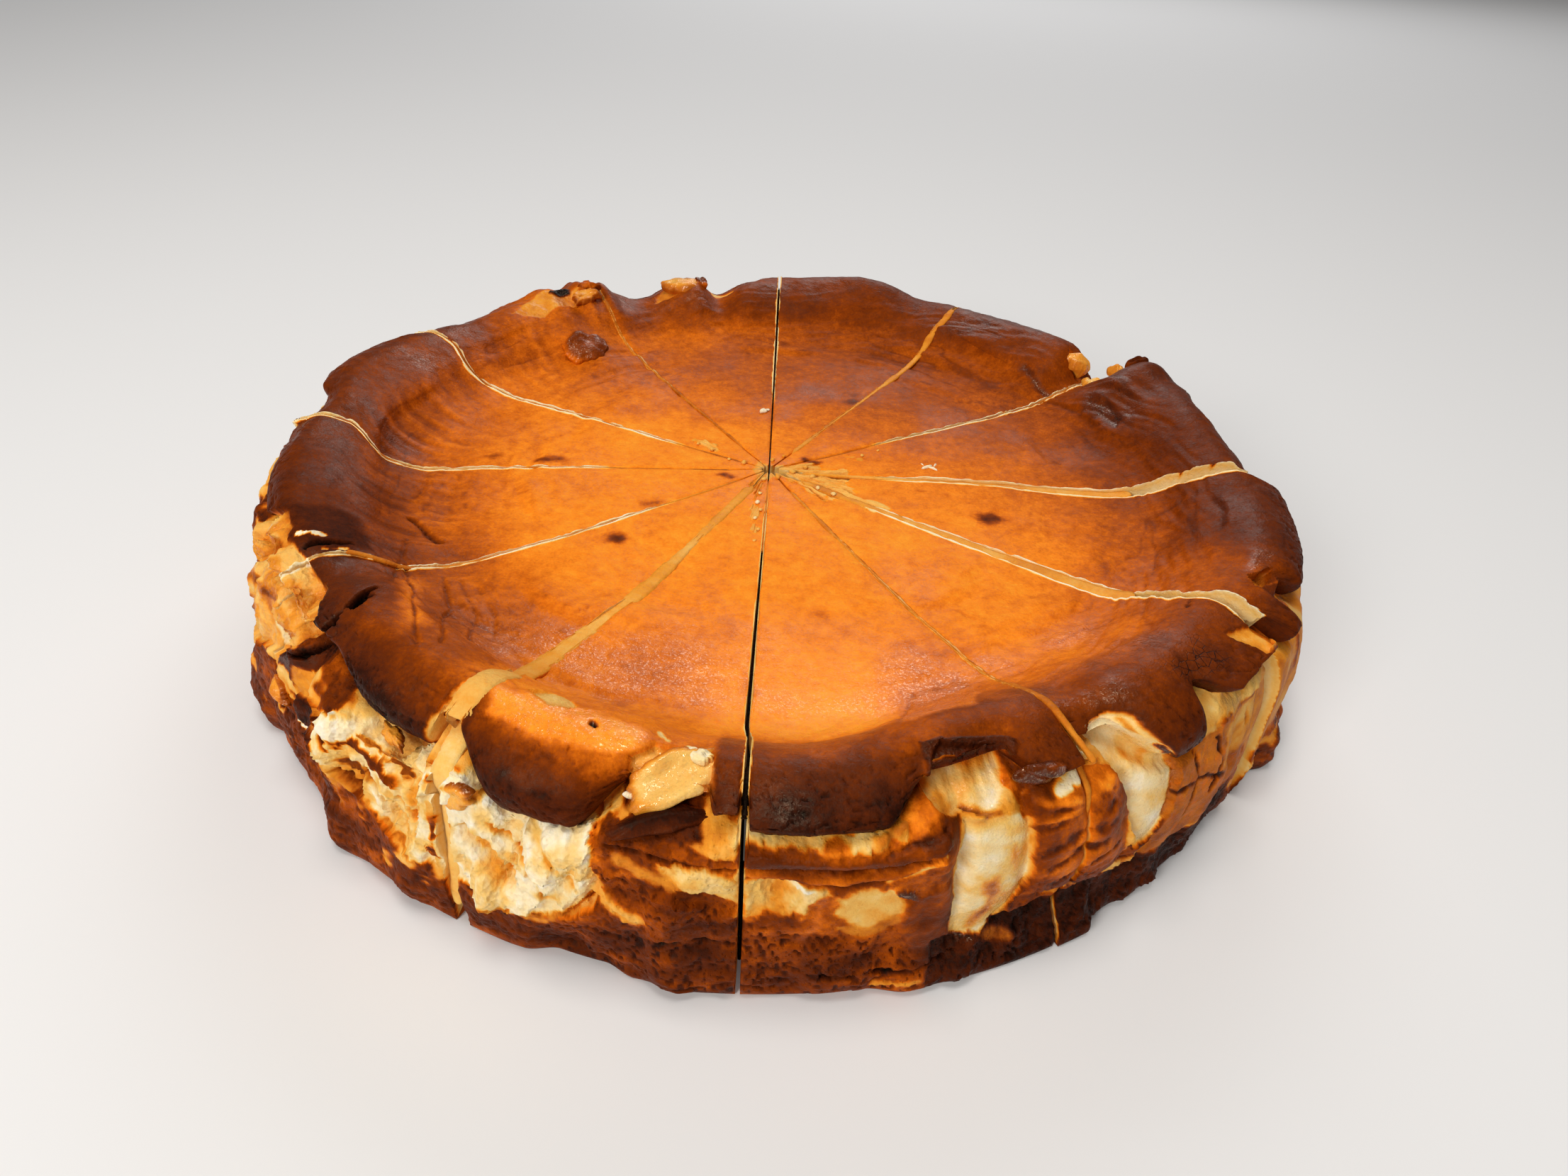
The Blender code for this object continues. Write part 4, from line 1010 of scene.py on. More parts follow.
@dataclass(frozen=True)
class Painter:
    """Lays out how far each spot is baked, what shows there and how it stands out.

    degree is the length of a degree on the wall, and front the azimuth that the photo's
    side has in its middle.
    """

    noise: Noise = Noise(11)
    edge: Noise = Noise(23)
    fine: Noise = Noise(37)
    relief: Relief = Relief()
    degree: float = 2.2
    front: float = -84.0
    wall_radius: float = 128.0
    rim_radius: float = 95.0

    @staticmethod
    def round_cake(azimuth: Array, size: str) -> Array:
        """Ease one of a tone's sizes from tone to tone round the cake.

        Args:
            azimuth: One azimuth for each column.
            size: Name of the size.

        Returns:
            Its value in each column.
        """
        tones = sorted(TONES, key=lambda tone: tone.azimuth % 360.0)
        at = [tone.azimuth % 360.0 for tone in tones]
        values = [getattr(tone, size) for tone in tones]
        at = np.array([at[-1] - 360.0, *at, at[0] + 360.0])
        values = np.array([values[-1], *values, values[0]])
        where = azimuth % 360.0
        step = np.clip(np.searchsorted(at, where, side="right") - 1, 0, len(at) - 2)
        share = smooth((where - at[step]) / (at[step + 1] - at[step]))
        return mix(values[step], values[step + 1], share)

    def undercoat(self, s: Surface) -> None:
        """Paint the plain crust, dish and wall.

        Args:
            s: The surface to paint.
        """
        on_top = (s.place > WALL_ENDS)[:, None]
        x, y, z = s.x, s.y, s.height
        blotch = self.noise.rough(x / 16.0, y / 16.0, z / 12.0, octaves=4, gain=0.55)

        # The dish grows darker from its front to its far side and towards its edge.
        far_right = smooth((0.55 * x + 0.83 * y + 15.0) / 75.0)
        left = smooth((-x - 20.0) / 50.0)
        far = smooth((y - 5.0) / 40.0)
        near_edge = smooth((s.reach - 45.0) / 40.0)
        dish = 0.405 + 0.14 * far_right + 0.035 * far + (0.02 + 0.04 * left) * near_edge

        # Places along the outline, from hem to dish, where one tone gives way to the next.
        knots = (47.0, 56.0, 66.0, 80.0, 92.0)
        column = s.azimuth[0]
        sizes = ("hem", "lip", "crest", "slope", "edge")
        tones = [self.round_cake(column, size)[None, :] for size in sizes]
        warped = s.along + 2.5 * self.edge.rough(x / 9.0, y / 9.0, z / 6.0, octaves=3)
        rim = tones[0] + 0.0 * warped
        for low, high, before, after in zip(knots, knots[1:], tones, tones[1:]):
            rim = rim + (after - before) * smooth((warped - low) / (high - low))
        crust = mix(rim, dish, s.past(90.0, 24.0))
        crust = crust + 0.034 * blotch

        # Brown crust with patches of curd, in streaks, on the wall.
        strata = self.edge.rough(x / 22.0, y / 22.0, z / 3.2, octaves=3)
        patches = self.noise.rough(x / 9.0 + 40.0, y / 9.0, z / 8.0, octaves=3)
        high, low = smooth((z - 14.0) / 16.0), 1.0 - smooth(z / 16.0)
        bare = patches + 0.55 * strata - 0.25 + 0.5 * high - 0.7 * low
        curd = smooth(bare / 0.32 + 0.5)
        wall = mix(0.69 + 0.07 * strata + 0.05 * blotch, 0.36 + 0.10 * patches - 0.1 * bare, curd)
        s.curd[:] = np.where(on_top, 0.0, curd)
        s.bake[:] = np.where(on_top, crust, wall)
        lip, inside = smooth((s.reach - 92.0) / 12.0), smooth((102.0 - s.reach) / 12.0)
        front = smooth((-y - 55.0) / 30.0)
        shine = 0.34 + 0.16 * lip + 0.3 * blotch + 0.5 * front * inside
        s.gloss[:] = np.where(on_top, shine, 0.40)
        s.pores[:] = np.where(on_top, 0.0, 0.55 * (1.0 - curd))
        s.torn[:] = np.where(on_top, 0.0, 0.25 + 0.25 * curd)

    def cover(self, mark: Mark, s: Surface) -> tuple[tuple[slice, slice], Array] | None:
        """Part of the surface that a mark covers.

        Args:
            mark: The mark.
            s: The surface it lies on.

        Returns:
            Rows and columns that the mark may touch, and its strength there, or None
            where the mark lies off this surface.
        """
        corners = np.array(mark.points, dtype=float)
        margin = mark.width + mark.soft + 2.0 * mark.ragged
        if mark.side is DISH:
            u, v = s.x, s.y
        else:
            u = turned(s.azimuth, corners[:, 0].mean()) * self.degree
            corners[:, 0] = turned(corners[:, 0], corners[:, 0].mean()) * self.degree
            v = s.along
        low, high = corners.min(axis=0) - margin, corners.max(axis=0) + margin
        near = (u > low[0]) & (u < high[0]) & (v > low[1]) & (v < high[1])
        if mark.side is WALL:
            near &= (s.place < WALL_ENDS)[:, None]
        elif mark.side is LIP:
            near &= (s.place > WALL_ENDS)[:, None]
        rows, columns = np.flatnonzero(near.any(axis=1)), np.flatnonzero(near.any(axis=0))
        if len(rows) == 0:
            return None
        part = (slice(rows[0], rows[-1] + 1), slice(columns[0], columns[-1] + 1))
        u, v, near = u[part], v[part], near[part]
        distance = np.full(u.shape, 1e9)
        inside = np.zeros(u.shape, dtype=bool)
        count = len(corners)
        closed = mark.width == 0.0
        for step in range(count if closed else max(count - 1, 1)):
            (ax, ay), (bx, by) = corners[step], corners[(step + 1) % count]
            length = (bx - ax) ** 2 + (by - ay) ** 2 + 1e-9
            share = np.clip(((u - ax) * (bx - ax) + (v - ay) * (by - ay)) / length, 0.0, 1.0)
            gap = np.hypot(u - ax - share * (bx - ax), v - ay - share * (by - ay))
            distance = np.minimum(distance, gap)
            if closed and ay != by:
                crosses = (ay > v) != (by > v)
                inside ^= crosses & (u < (bx - ax) * (v - ay) / (by - ay) + ax)
        if closed:
            distance = np.where(inside, -distance, distance)
        x, y, z = s.x[part], s.y[part], s.height[part]
        wobble = self.edge.rough(x / 2.6, y / 2.6, z / 2.6, octaves=4, gain=0.6)
        distance = distance - mark.width + mark.ragged * wobble
        return part, smooth(0.5 - distance / mark.soft) * near

    def stamp(self, mark: Mark, s: Surface) -> None:
        """Paint one mark.

        Args:
            mark: The mark.
            s: The surface to paint.
        """
        found = self.cover(mark, s)
        if found is None:
            return
        part, share = found
        for name in ("bake", "curd", "gloss", "torn", "pores", "cracks"):
            value = getattr(mark, name)
            if value is not None:
                channel = getattr(s, name)
                channel[part] = mix(channel[part], value, share)
        s.push[part] += mark.push * share

    def tear(self, s: Surface) -> None:
        """Raise the layered flakes of torn curd, with painted shade that darkens the lower layers
        and paler lines along the flakes' lips.

        Args:
            s: The surface to shape.
        """
        x, y, z = s.x, s.y, s.height
        arc = s.arc(self.wall_radius)
        lean, across = z + 0.6 * arc, arc - 0.35 * z
        broad = self.noise.rough(across / 6.5, lean / 17.0, s.reach / 9.0, octaves=3, gain=0.42)
        frayed = self.fine.rough(x / 1.6, y / 1.6, z / 1.6, octaves=3, gain=0.6)
        steps = broad * 2.8 + 0.10 * frayed
        part = steps - np.floor(steps)
        ledge = np.floor(steps) + smooth((part - 0.72) / 0.28) + 0.35 * part
        lip = np.exp(-(((part - 0.68) / 0.13) ** 2))
        crisp = self.fine.rough(x / 1.3, y / 1.3, z / 1.1, octaves=2, gain=0.6)
        size = self.relief
        s.push += s.torn * (size.flake * ledge + size.crisp * crisp + size.flake_lip * lip)
        # Painted shade: the lower a layer lies, the darker it is painted; its lip is paler.
        s.bake += s.torn * s.curd * (np.clip(-0.07 * ledge, -0.06, 0.20) - 0.07 * lip)
        toasted = smooth(1.6 * self.noise.rough(x / 5.0, y / 5.0, z / 4.0, octaves=2))
        s.bake += 0.13 * s.torn * s.curd * toasted

    def speckle(self, s: Surface) -> None:
        """Vary the tone of smooth curd, and sink pores into crust, with painted shade in them.

        Args:
            s: The surface to shape.
        """
        x, y, z = s.x, s.y, s.height
        sleek = s.curd * smooth(1.0 - s.torn / 0.3) * (s.along < 62.0)
        vary = self.noise.rough(x / 6.0 + 20.0, y / 6.0, z / 5.0, octaves=3, gain=0.6)
        s.bake += 0.20 * sleek * vary
        pit = self.fine.at(x / 0.8, y / 0.8, z / 0.8)
        pit = smooth((pit - 0.18) / 0.4)
        s.push -= self.relief.pore * s.pores * pit
        # Painted shade: the crust is darker in its sunk pits.
        s.bake += 0.16 * s.pores * pit * (1.0 - s.curd)

    def crease_lip(self, s: Surface) -> None:
        """Raise the lip's leathery waves, and sink fine cracks between them, with painted shade in
        the cracks.

        Args:
            s: The surface to shape.
        """
        x, y, z = s.x, s.y, s.height
        size = self.relief
        leather = self.noise.rough(x / 7.0, y / 7.0, z / 7.0, octaves=3, gain=0.5)
        grain = self.fine.rough(x / 1.8, y / 1.8, z / 1.8, octaves=2)
        lip = s.on_lip() * (1.0 - s.past(70.0, 20.0)) * (1.0 - s.curd)
        arc, lines = s.arc(self.rim_radius), s.along / 1.3 + 0.8 * leather
        wrinkle = self.edge.rough(arc / 4.0, lines, 11.0, octaves=2, gain=0.6)
        crack = smooth(1.0 - np.abs(wrinkle) / 0.16) * (1.0 - s.past(54.0, 10.0))
        s.push += lip * (size.leather * leather + size.grain * grain - size.lip_crack * crack)
        # Painted shade: the sunk cracks are a little darker.
        s.bake += 0.05 * lip * crack

    def crease_slope(self, s: Surface) -> None:
        """Raise the slope's rings of creases and its ripples, both calmer in front, with painted
        shade in the creases.

        Args:
            s: The surface to shape.
        """
        x, y = s.x, s.y
        arc = s.arc(self.rim_radius)
        size = self.relief
        band = s.on_lip() * s.past(66.0, 10.0) * (1.0 - s.past(108.0, 30.0))
        front = np.exp(-((turned(s.azimuth, self.front) / 22.0) ** 2))
        band = band * (1.0 - 0.75 * front)
        waved = s.reach + 2.0 * self.noise.rough(arc / 18.0, s.reach / 14.0, 3.0, octaves=2)
        ridge = 1.0 - np.abs(self.edge.rough(arc / 26.0, waved / 3.0, 0.0, octaves=1))
        crease = smooth((ridge - 0.70) / 0.30) ** 2
        where = smooth(0.5 + 1.2 * self.noise.rough(x / 20.0, y / 20.0, 9.0, octaves=2))
        wave = self.noise.rough(arc / 30.0, waved / 3.8, 5.0, octaves=1)
        s.push += band * where * (size.slope_wave * wave - size.slope_crease * crease)
        # Painted shade: the sunk creases are darker.
        s.bake += 0.06 * band * where * crease

        # Folds run down the slope at the left, in place of the ripples; painted light and shade
        # make their ridges paler and their troughs darker.
        slope = s.on_lip() * s.past(70.0, 8.0) * smooth((106.0 - s.along) / 20.0)
        left = smooth((-x - 30.0) / 40.0)
        rings = (waved + 0.25 * arc) / 1.5
        ripple = self.fine.rough(arc / 8.0, rings, 6.0, octaves=2, gain=0.5)
        down = (arc + 0.3 * waved) / 2.6
        folds = self.edge.rough(down, s.reach / 16.0, 6.0, octaves=2, gain=0.5)
        rippled = size.ripple * (1.0 - left) * (1.0 - 0.6 * front) * ripple
        s.push += slope * (rippled + size.fold * left * folds)
        s.bake -= 0.05 * slope * left * folds

    def wave_dish(self, s: Surface) -> None:
        """Raise the dish's slow waves and its grain.

        Args:
            s: The surface to shape.
        """
        dish = s.past(88.0, 8.0)
        wave = self.noise.rough(s.x / 24.0, s.y / 24.0, 1.0, octaves=2)
        grain = self.fine.rough(s.x / 2.2, s.y / 2.2, 4.0, octaves=2)
        s.push += dish * (self.relief.dish_wave * wave)
        s.push += dish * self.relief.dish_grain * grain

    def pleat_wall(self, s: Surface) -> None:
        """Raise the wall's upright folds and level pleats, with painted shade in the pleats'
        grooves, and mottle its crust.

        Args:
            s: The surface to shape.
        """
        z = s.height
        arc = s.arc(self.wall_radius)
        size = self.relief
        wall = (1.0 - smooth((s.place - Station.NECK.value) / 1.0))[:, None]
        fold = self.noise.rough(arc / 6.5, z / 34.0, 2.0, octaves=2)
        pleat = self.edge.rough(arc / 16.0, z / 2.8, 7.0, octaves=2)
        firm = 1.0 - s.curd * np.clip(1.1 - s.torn, 0.3, 0.95)
        crust = firm * (1.0 - smooth((s.bake - 0.9) / 0.05))
        s.push += wall * crust * (size.wall_fold * fold + size.pleat * pleat)
        # Painted shade: crust is darker in the grooves of the pleats.
        s.bake += wall * (0.035 * smooth(-pleat * 2.0) * (1.0 - s.curd))
        mottled = self.noise.rough(arc / 7.0, z / 5.0, 12.0, octaves=3, gain=0.6)
        s.bake += wall * (1.0 - s.curd) * smooth((0.84 - s.bake) / 0.1) * 0.13 * mottled

    def paint(self, s: Surface) -> None:
        """Paint a surface from plain crust to the last mark, and work out its relief.

        Args:
            s: The surface to paint and shape.
        """
        self.undercoat(s)
        for mark in MARKS:
            self.stamp(mark, s)
        self.tear(s)
        self.speckle(s)
        self.crease_lip(s)
        self.crease_slope(s)
        self.wave_dish(s)
        self.pleat_wall(s)
        s.push[:] = np.clip(s.push, -self.relief.most_in, self.relief.most_out)
        s.push *= smooth(s.height / 3.0)


# ----------------------------------------------------------------- fine slices


class EdgeKind(Enum):
    """How the crust looks along a cut."""

    PALE = "scraped, with pale ragged rims"
    SMEARED = "curd drawn over it"


PALE, SMEARED = EdgeKind


@dataclass(frozen=True)
class CutLook:
    """Looks of one cut: its rims and its strip. Most strips are curd that the knife left; the
    near-black ones sunk deep inside the open cuts are painted shade.

    rim is the width of each slice's scraped rim, baked as far as rim_bake from the
    distance rim_start outwards. The strip's width, level and bake describe it between the
    rims, from start to end along the outline.
    """

    kind: EdgeKind
    rim: float
    rim_bake: float
    rim_start: float
    strip_width: float
    strip_level: float
    strip_bake: float
    start: float
    end: float


CUT_LOOKS = table(
    CutLook,
    # The first cut's strip, dark and sunk between its pale rims, is painted shade in the narrow
    # gap.
    (PALE, 0.26, 0.14, 36.0, 0.25, -1.8, 0.75, 12.0, 30.0),
    (SMEARED, 0.22, 0.50, 8.0, 0.85, 0.02, 0.44, 10.0, 113.0),
    (PALE, 0.30, 0.05, 26.0, 0.28, -0.35, 0.58, 6.0, 112.0),
    (PALE, 0.34, 0.07, 20.0, 0.62, -0.15, 0.40, 6.0, 92.0),
    (PALE, 0.40, 0.03, 22.0, 1.05, -0.15, 0.42, 6.0, 96.0),
    (SMEARED, 0.20, 0.50, 14.0, 0.50, 0.0, 0.47, 10.0, 158.0),
    (PALE, 0.20, 0.22, 8.0, 0.30, -0.35, 0.46, 4.0, 38.0),
    (SMEARED, 0.24, 0.44, 12.0, 1.15, 0.03, 0.38, 8.0, 172.0),
    (PALE, 0.34, 0.06, 24.0, 0.36, -0.25, 0.48, 8.0, 108.0),
    (PALE, 0.30, 0.06, 34.0, 0.28, -0.35, 0.56, 8.0, 112.0),
    (PALE, 0.40, 0.05, 20.0, 0.30, -0.25, 0.52, 6.0, 112.0),
    (SMEARED, 0.18, 0.54, 16.0, 0.30, 0.0, 0.54, 12.0, 108.0),
)

# Painted shade: near-black strips sunk deep inside the two cuts that stand open, where only shade
# shows.
SHADE_STRIPS_IN_CUT = (
    (0, CutLook(PALE, 0.0, 0.0, 0.0, 0.3, -4.0, 0.9, 20.0, 130.0)),
    (6, CutLook(PALE, 0.0, 0.0, 0.0, 0.34, -4.5, 0.97, 30.0, 130.0)),
    (6, CutLook(PALE, 0.0, 0.0, 0.0, 0.34, -4.5, 0.97, 148.0, 190.0)),
)


@dataclass(frozen=True)
class Fineness:
    """Spacings of the fine mesh, and how often each lump's faces are split.

    side and dish are the spacings up the outline, and columns that at each slice's
    rim, finest in front.
    """

    side: float = 0.45
    dish: float = 1.0
    columns: tuple[float, ...] = (
        0.75, 0.75, 0.75, 0.5, 0.42, 0.36, 0.36, 0.38, 0.5, 0.75, 0.75, 0.75,
    )
    lump_splits: int = 5


# Lengths of the outline from station to station, up to the slope's foot and over the dish.
SIDE_LENGTHS = (
    2.2, 6.0, 4.5, 6.8, 9.0, 9.0, 5.0, 5.0, 2.4, 3.0, 4.5, 4.5, 6.0, 5.0, 8.5, 9.0, 8.0,
)
DISH_LENGTHS = (16.0, 28.0, 26.0, 13.0)


class Outline:
    """Outline of the cake at fine detail."""

    def __init__(self, form: CakeForm, fineness: Fineness) -> None:
        """Lay out the fine rows along the outline.

        Args:
            form: The cake's form.
            fineness: Spacings of the rows.
        """
        self.form = form
        self.fineness = fineness
        lengths = SIDE_LENGTHS + DISH_LENGTHS
        places = []
        for station, length in enumerate(lengths):
            spacing = fineness.side if station < len(SIDE_LENGTHS) else fineness.dish
            count = max(2, round(length / spacing))
            places += [station + k / count for k in range(count)]
        self.places = np.array([*places, float(len(lengths))])
        self.weights = self._weights(len(lengths) + 1)

    def _weights(self, count: int) -> Array:
        """Work out the share of each station in every row, for a smooth curve.

        Args:
            count: How many stations steer the curve.

        Returns:
            Shares, (row, station).
        """
        weights = np.zeros((len(self.places), count + 2))
        for station in range(-1, count + 1):
            away = np.abs(self.places - station)
            near = np.where(away < 0.5, 0.75 - away**2, 0.5 * (1.5 - away) ** 2)
            weights[:, station + 1] = np.where(away < 1.5, near, 0.0)
        inner = weights[:, 1:-1].copy()
        inner[:, 0] += 2.0 * weights[:, 0]
        inner[:, 1] -= weights[:, 0]
        inner[:, -1] += 2.0 * weights[:, -1]
        inner[:, -2] -= weights[:, -1]
        return inner

    def at(self, azimuth: Array) -> tuple[Array, Array]:
        """Distances and heights, (row, column), at the azimuths."""
        reach, height = self.form.stations(azimuth)
        return self.weights @ reach, np.maximum(self.weights @ height, 0.0)


def looks(shape: tuple[int, ...], *values: Array | float) -> Array:
    """The values of each spot side by side, with plain numbers the same all over."""
    return np.stack([np.broadcast_to(value, shape) for value in values], axis=-1)


@dataclass
class MeshPart:
    """A sheet of spots on a grid: points in metres and looks, each (row, column, 3)."""

    points: Array
    tone: Array
    grain: Array

    def add_to(self, whole: bmesh.types.BMesh) -> None:
        """Add the sheet's faces.

        Args:
            whole: The mesh in the making that they go to.
        """
        rows, columns = self.points.shape[:2]
        sheet = bmesh.new()
        bmesh.ops.create_grid(sheet, x_segments=columns - 1, y_segments=rows - 1, size=1.0)
        mesh = bpy.data.meshes.new("sheet")
        sheet.to_mesh(mesh)
        sheet.free()
        mesh.vertices.foreach_set("co", self.points.reshape(-1).astype(np.float32))
        for name in ("tone", "grain"):
            layer = mesh.attributes.new(name, "FLOAT_COLOR", "POINT")
            full = np.ones((rows * columns, 4), dtype=np.float32)
            full[:, :3] = getattr(self, name).reshape(-1, 3)
            layer.data.foreach_set("color", full.ravel())
        whole.from_mesh(mesh)
        bpy.data.meshes.remove(mesh)


def finished(
    bm: bmesh.types.BMesh, name: str, finish: bpy.types.Material, sharp: float | None = None
) -> bpy.types.Object:
    """Turn a mesh in the making into a smooth piece that rides on the cake.

    Args:
        bm: The mesh in the making, which is used up.
        name: Name of the piece.
        finish: Its material.
        sharp: Angle in radians from which an edge stays sharp, if any does.

    Returns:
        The piece.
    """
    bmesh.ops.recalc_face_normals(bm, faces=bm.faces)
    open_edges = sum(not edge.is_manifold for edge in bm.edges)
    mesh = bpy.data.meshes.new(name)
    bm.to_mesh(mesh)
    bm.free()
    mesh.shade_smooth()
    if sharp is not None:
        mesh.set_sharp_from_angle(angle=sharp)
    mesh.materials.append(finish)
    piece = bpy.data.objects.new(name, mesh)
    bpy.context.scene.collection.objects.link(piece)
    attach(piece, "root")
    log.info("%s: %d faces, %d open edges", name, len(mesh.polygons), open_edges)
    return piece


@dataclass
class FineSlice:
    """One slice at fine detail, with an outside that is painted and cut faces.

    close are the columns next to each cut, core_reach and core_height the corner
    that the cut faces run in to, and depths the rows that they have on the way.
    """

    index: int
    outline: Outline
    painter: Painter
    close: tuple[float, ...] = (0.0, 0.15, 0.35, 0.6, 0.95)
    first_wide: float = 1.4
    core_reach: float = 106.0
    core_height: float = 18.0
    depths: tuple[float, ...] = (0.0, 0.35, 0.9, 2.0, 6.0)
    crust_by_depth: tuple[float, ...] = (1.0, 0.85, 0.4, 0.05, 0.0, 0.0)
    bake_by_depth: tuple[float, ...] = (0.2, 0.2, 0.26, 0.2, 0.12, 0.1)
    sharp: float = math.radians(62.0)

    @property
    def node(self) -> str:
        """Name of the slice's solid."""
        return f"slice_{self.index + 1:02d}"

    def columns(self) -> Array:
        """Lay out the columns of the fine mesh.

        Returns:
            Shares of the way across the slice.
        """
        width = math.radians(abs(cuts_of(self.index)[2])) * self.outline.form.sizes.body_radius
        spacing = self.outline.fineness.columns[self.index]
        close, start = np.array(self.close), self.first_wide
        count = round((width - 2.0 * start) / spacing) + 1
        inner = np.linspace(start, width - start, count)
        return np.concatenate([close, inner, width - close[::-1]]) / width

    def paint_edges(self, s: Surface, share: Array) -> None:
        """Give the two cut edges their rims of scraped crust or smeared curd.

        Args:
            s: The slice's surface, which is painted.
            share: The columns' shares of the way across.
        """
        edge = self.painter.edge
        span = math.radians(abs(cuts_of(self.index)[2]))
        top = s.place > Station.HEM.value
        for side, cut in ((0.0, self.index), (1.0, (self.index + 1) % len(CUTS))):
            look = CUT_LOOKS[cut]
            away = np.abs(share - side)[None, :] * span * s.reach
            run = s.reach + np.where(top[:, None], 0.0, 80.0 - s.height)
            lane = cut * 31.0 + side * 7.0
            level = lane + 0.0 * run
            ragged = edge.rough(run / 2.2 + lane, level, 0.0, octaves=3, gain=0.7)
            slow = edge.rough(run / 9.0 + lane, lane + 3.0 + 0.0 * run, 0.0, octaves=2)
            width = look.rim * (1.0 + 0.9 * ragged + 0.5 * slow)
            started = smooth((s.reach - look.rim_start) / 14.0)
            pale = smooth((width - away) / 0.14 + 0.5) * started * top[:, None]
            s.curd[:] = mix(s.curd, 1.0, pale)
            s.bake[:] = mix(s.bake, look.rim_bake + 0.08 * ragged, pale)
            s.gloss[:] = mix(s.gloss, 0.2, pale)
            if look.kind is PALE:
                s.push += 0.22 * pale * smooth(0.5 + ragged)
            s.push -= 0.32 * np.exp(-away / 0.45) * (1.0 - pale)
            s.torn *= mix(0.25, 1.0, smooth(away / 2.2))

    def cut_sheets(self, s: Surface, share: Array, column: int) -> list[MeshPart]:
        """Faces of one cut, from the outside to a core and down to the ground.

        Args:
            s: The slice's surface, with its relief already in reach and height.
            share: The columns' shares of the way across.
            column: 0 for the first cut, -1 for the last.

        Returns:
            Two sheets that share their edges with the outside.
        """
        reach, height = s.reach[:, column], s.height[:, column]
        crest = int(np.argmax(height))
        rows = np.arange(len(reach))
        core_reach = np.where((rows < crest) | (reach > self.core_reach), self.core_reach, reach)
        core_height = np.full_like(reach, self.core_height)
        length = np.hypot(core_reach - reach, core_height - height)
        levels = [np.minimum(depth / length, 0.8) for depth in self.depths]
        levels = np.array([*levels, np.ones_like(length)]).T
        sheet_reach = mix(reach[:, None], core_reach[:, None], levels)
        sheet_height = mix(height[:, None], core_height[:, None], levels)
        crust = (1.0 - s.curd[:, column])[:, None] * np.array(self.crust_by_depth)
        bake = mix(np.array(self.bake_by_depth), s.bake[:, column][:, None], crust)
        upper = MeshPart(
            self._put(sheet_reach, sheet_height, share[column]),
            looks(levels.shape, bake, 1.0 - crust, 0.3),
            looks(levels.shape, 0.12, 0.0, 0.0),
        )

        inside = np.flatnonzero(core_reach < self.core_reach)[0] - 1
        low_reach = np.concatenate([[self.core_reach], core_reach[inside:]])
        ground = np.concatenate([[reach[0]], core_reach[inside:]])
        pair = np.stack([low_reach, ground], axis=1)
        heights = np.broadcast_to([self.core_height, 0.0], pair.shape)
        lower = MeshPart(
            self._put(pair, heights, share[column]),
            looks(pair.shape, 0.12, 1.0, 0.3),
            looks(pair.shape, 0.12, 0.0, 0.0),
        )
        return [upper, lower]

    def _put(self, reach: Array, height: Array, share: Array | float) -> Array:
        """Place spots of the slice, with its tip as one point at every height.

        Args:
            reach: Distances from where the cuts meet.
            height: Heights over the ground.
            share: Shares of the way across the slice.

        Returns:
            Points in metres.
        """
        form = self.outline.form
        radius = form.sizes.tip_radius
        points = form.placed(self.index, reach, height, share)
        tip = form.placed(self.index, np.array(radius), np.array(0.0), np.array(0.5))
        at_tip = np.abs(reach - radius) < 1e-6
        for axis in (0, 1):
            points[..., axis] = np.where(at_tip, tip[axis], points[..., axis])
        return points

    def shape(self, s: Surface, share: Array) -> None:
        """Move each spot square to the outline, in its own upright plane.

        Args:
            s: The slice's painted surface, whose reach and height are moved.
            share: The columns' shares of the way across.
        """
        self.paint_edges(s, share)
        run, rise = np.gradient(s.reach, axis=0), np.gradient(s.height, axis=0)
        length = np.hypot(run, rise) + 1e-9
        s.push *= smooth(s.reach / 12.0)
        s.push[-1] = 0.0
        s.push[0] = 0.0
        s.reach = s.reach + s.push * rise / length
        s.height = s.height - s.push * run / length
        s.height[-1] = s.height[-1].mean()
        s.height[1:] = np.maximum(s.height[1:], 0.05)
        s.height[0] = 0.0

    def build(self, finish: bpy.types.Material) -> bpy.types.Object:
        """Make the slice.

        Args:
            finish: Its material.

        Returns:
            The piece, which stands for the slice's solid.
        """
        first, _, span = cuts_of(self.index)
        share = self.columns()
        azimuth = first.azimuth + span * share
        s = Surface.lay_out(azimuth, *self.outline.at(azimuth), self.outline.places)
        self.painter.paint(s)
        self.shape(s, share)
        tone = looks(s.reach.shape, s.bake, s.curd, s.gloss)
        tone[-1] = tone[-1].mean(axis=0)
        grain = looks(s.reach.shape, s.torn, s.pores, s.cracks)
        outside = self._put(s.reach, s.height, share[None, :] + 0.0 * s.reach)
        sheets = [MeshPart(outside, tone, grain)]
        for column in (0, -1):
            sheets += self.cut_sheets(s, share, column)
        bm = bmesh.new()
        for sheet in sheets:
            sheet.add_to(bm)
        bmesh.ops.remove_doubles(bm, verts=bm.verts, dist=MERGE)
        bmesh.ops.dissolve_degenerate(bm, dist=MERGE / 2.0, edges=bm.edges)
        rim = [edge for edge in bm.edges if edge.is_boundary]
        bmesh.ops.holes_fill(bm, edges=rim, sides=0)
        piece = finished(bm, f"cake_{self.node}", finish, self.sharp)
        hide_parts(self.node)
        return piece
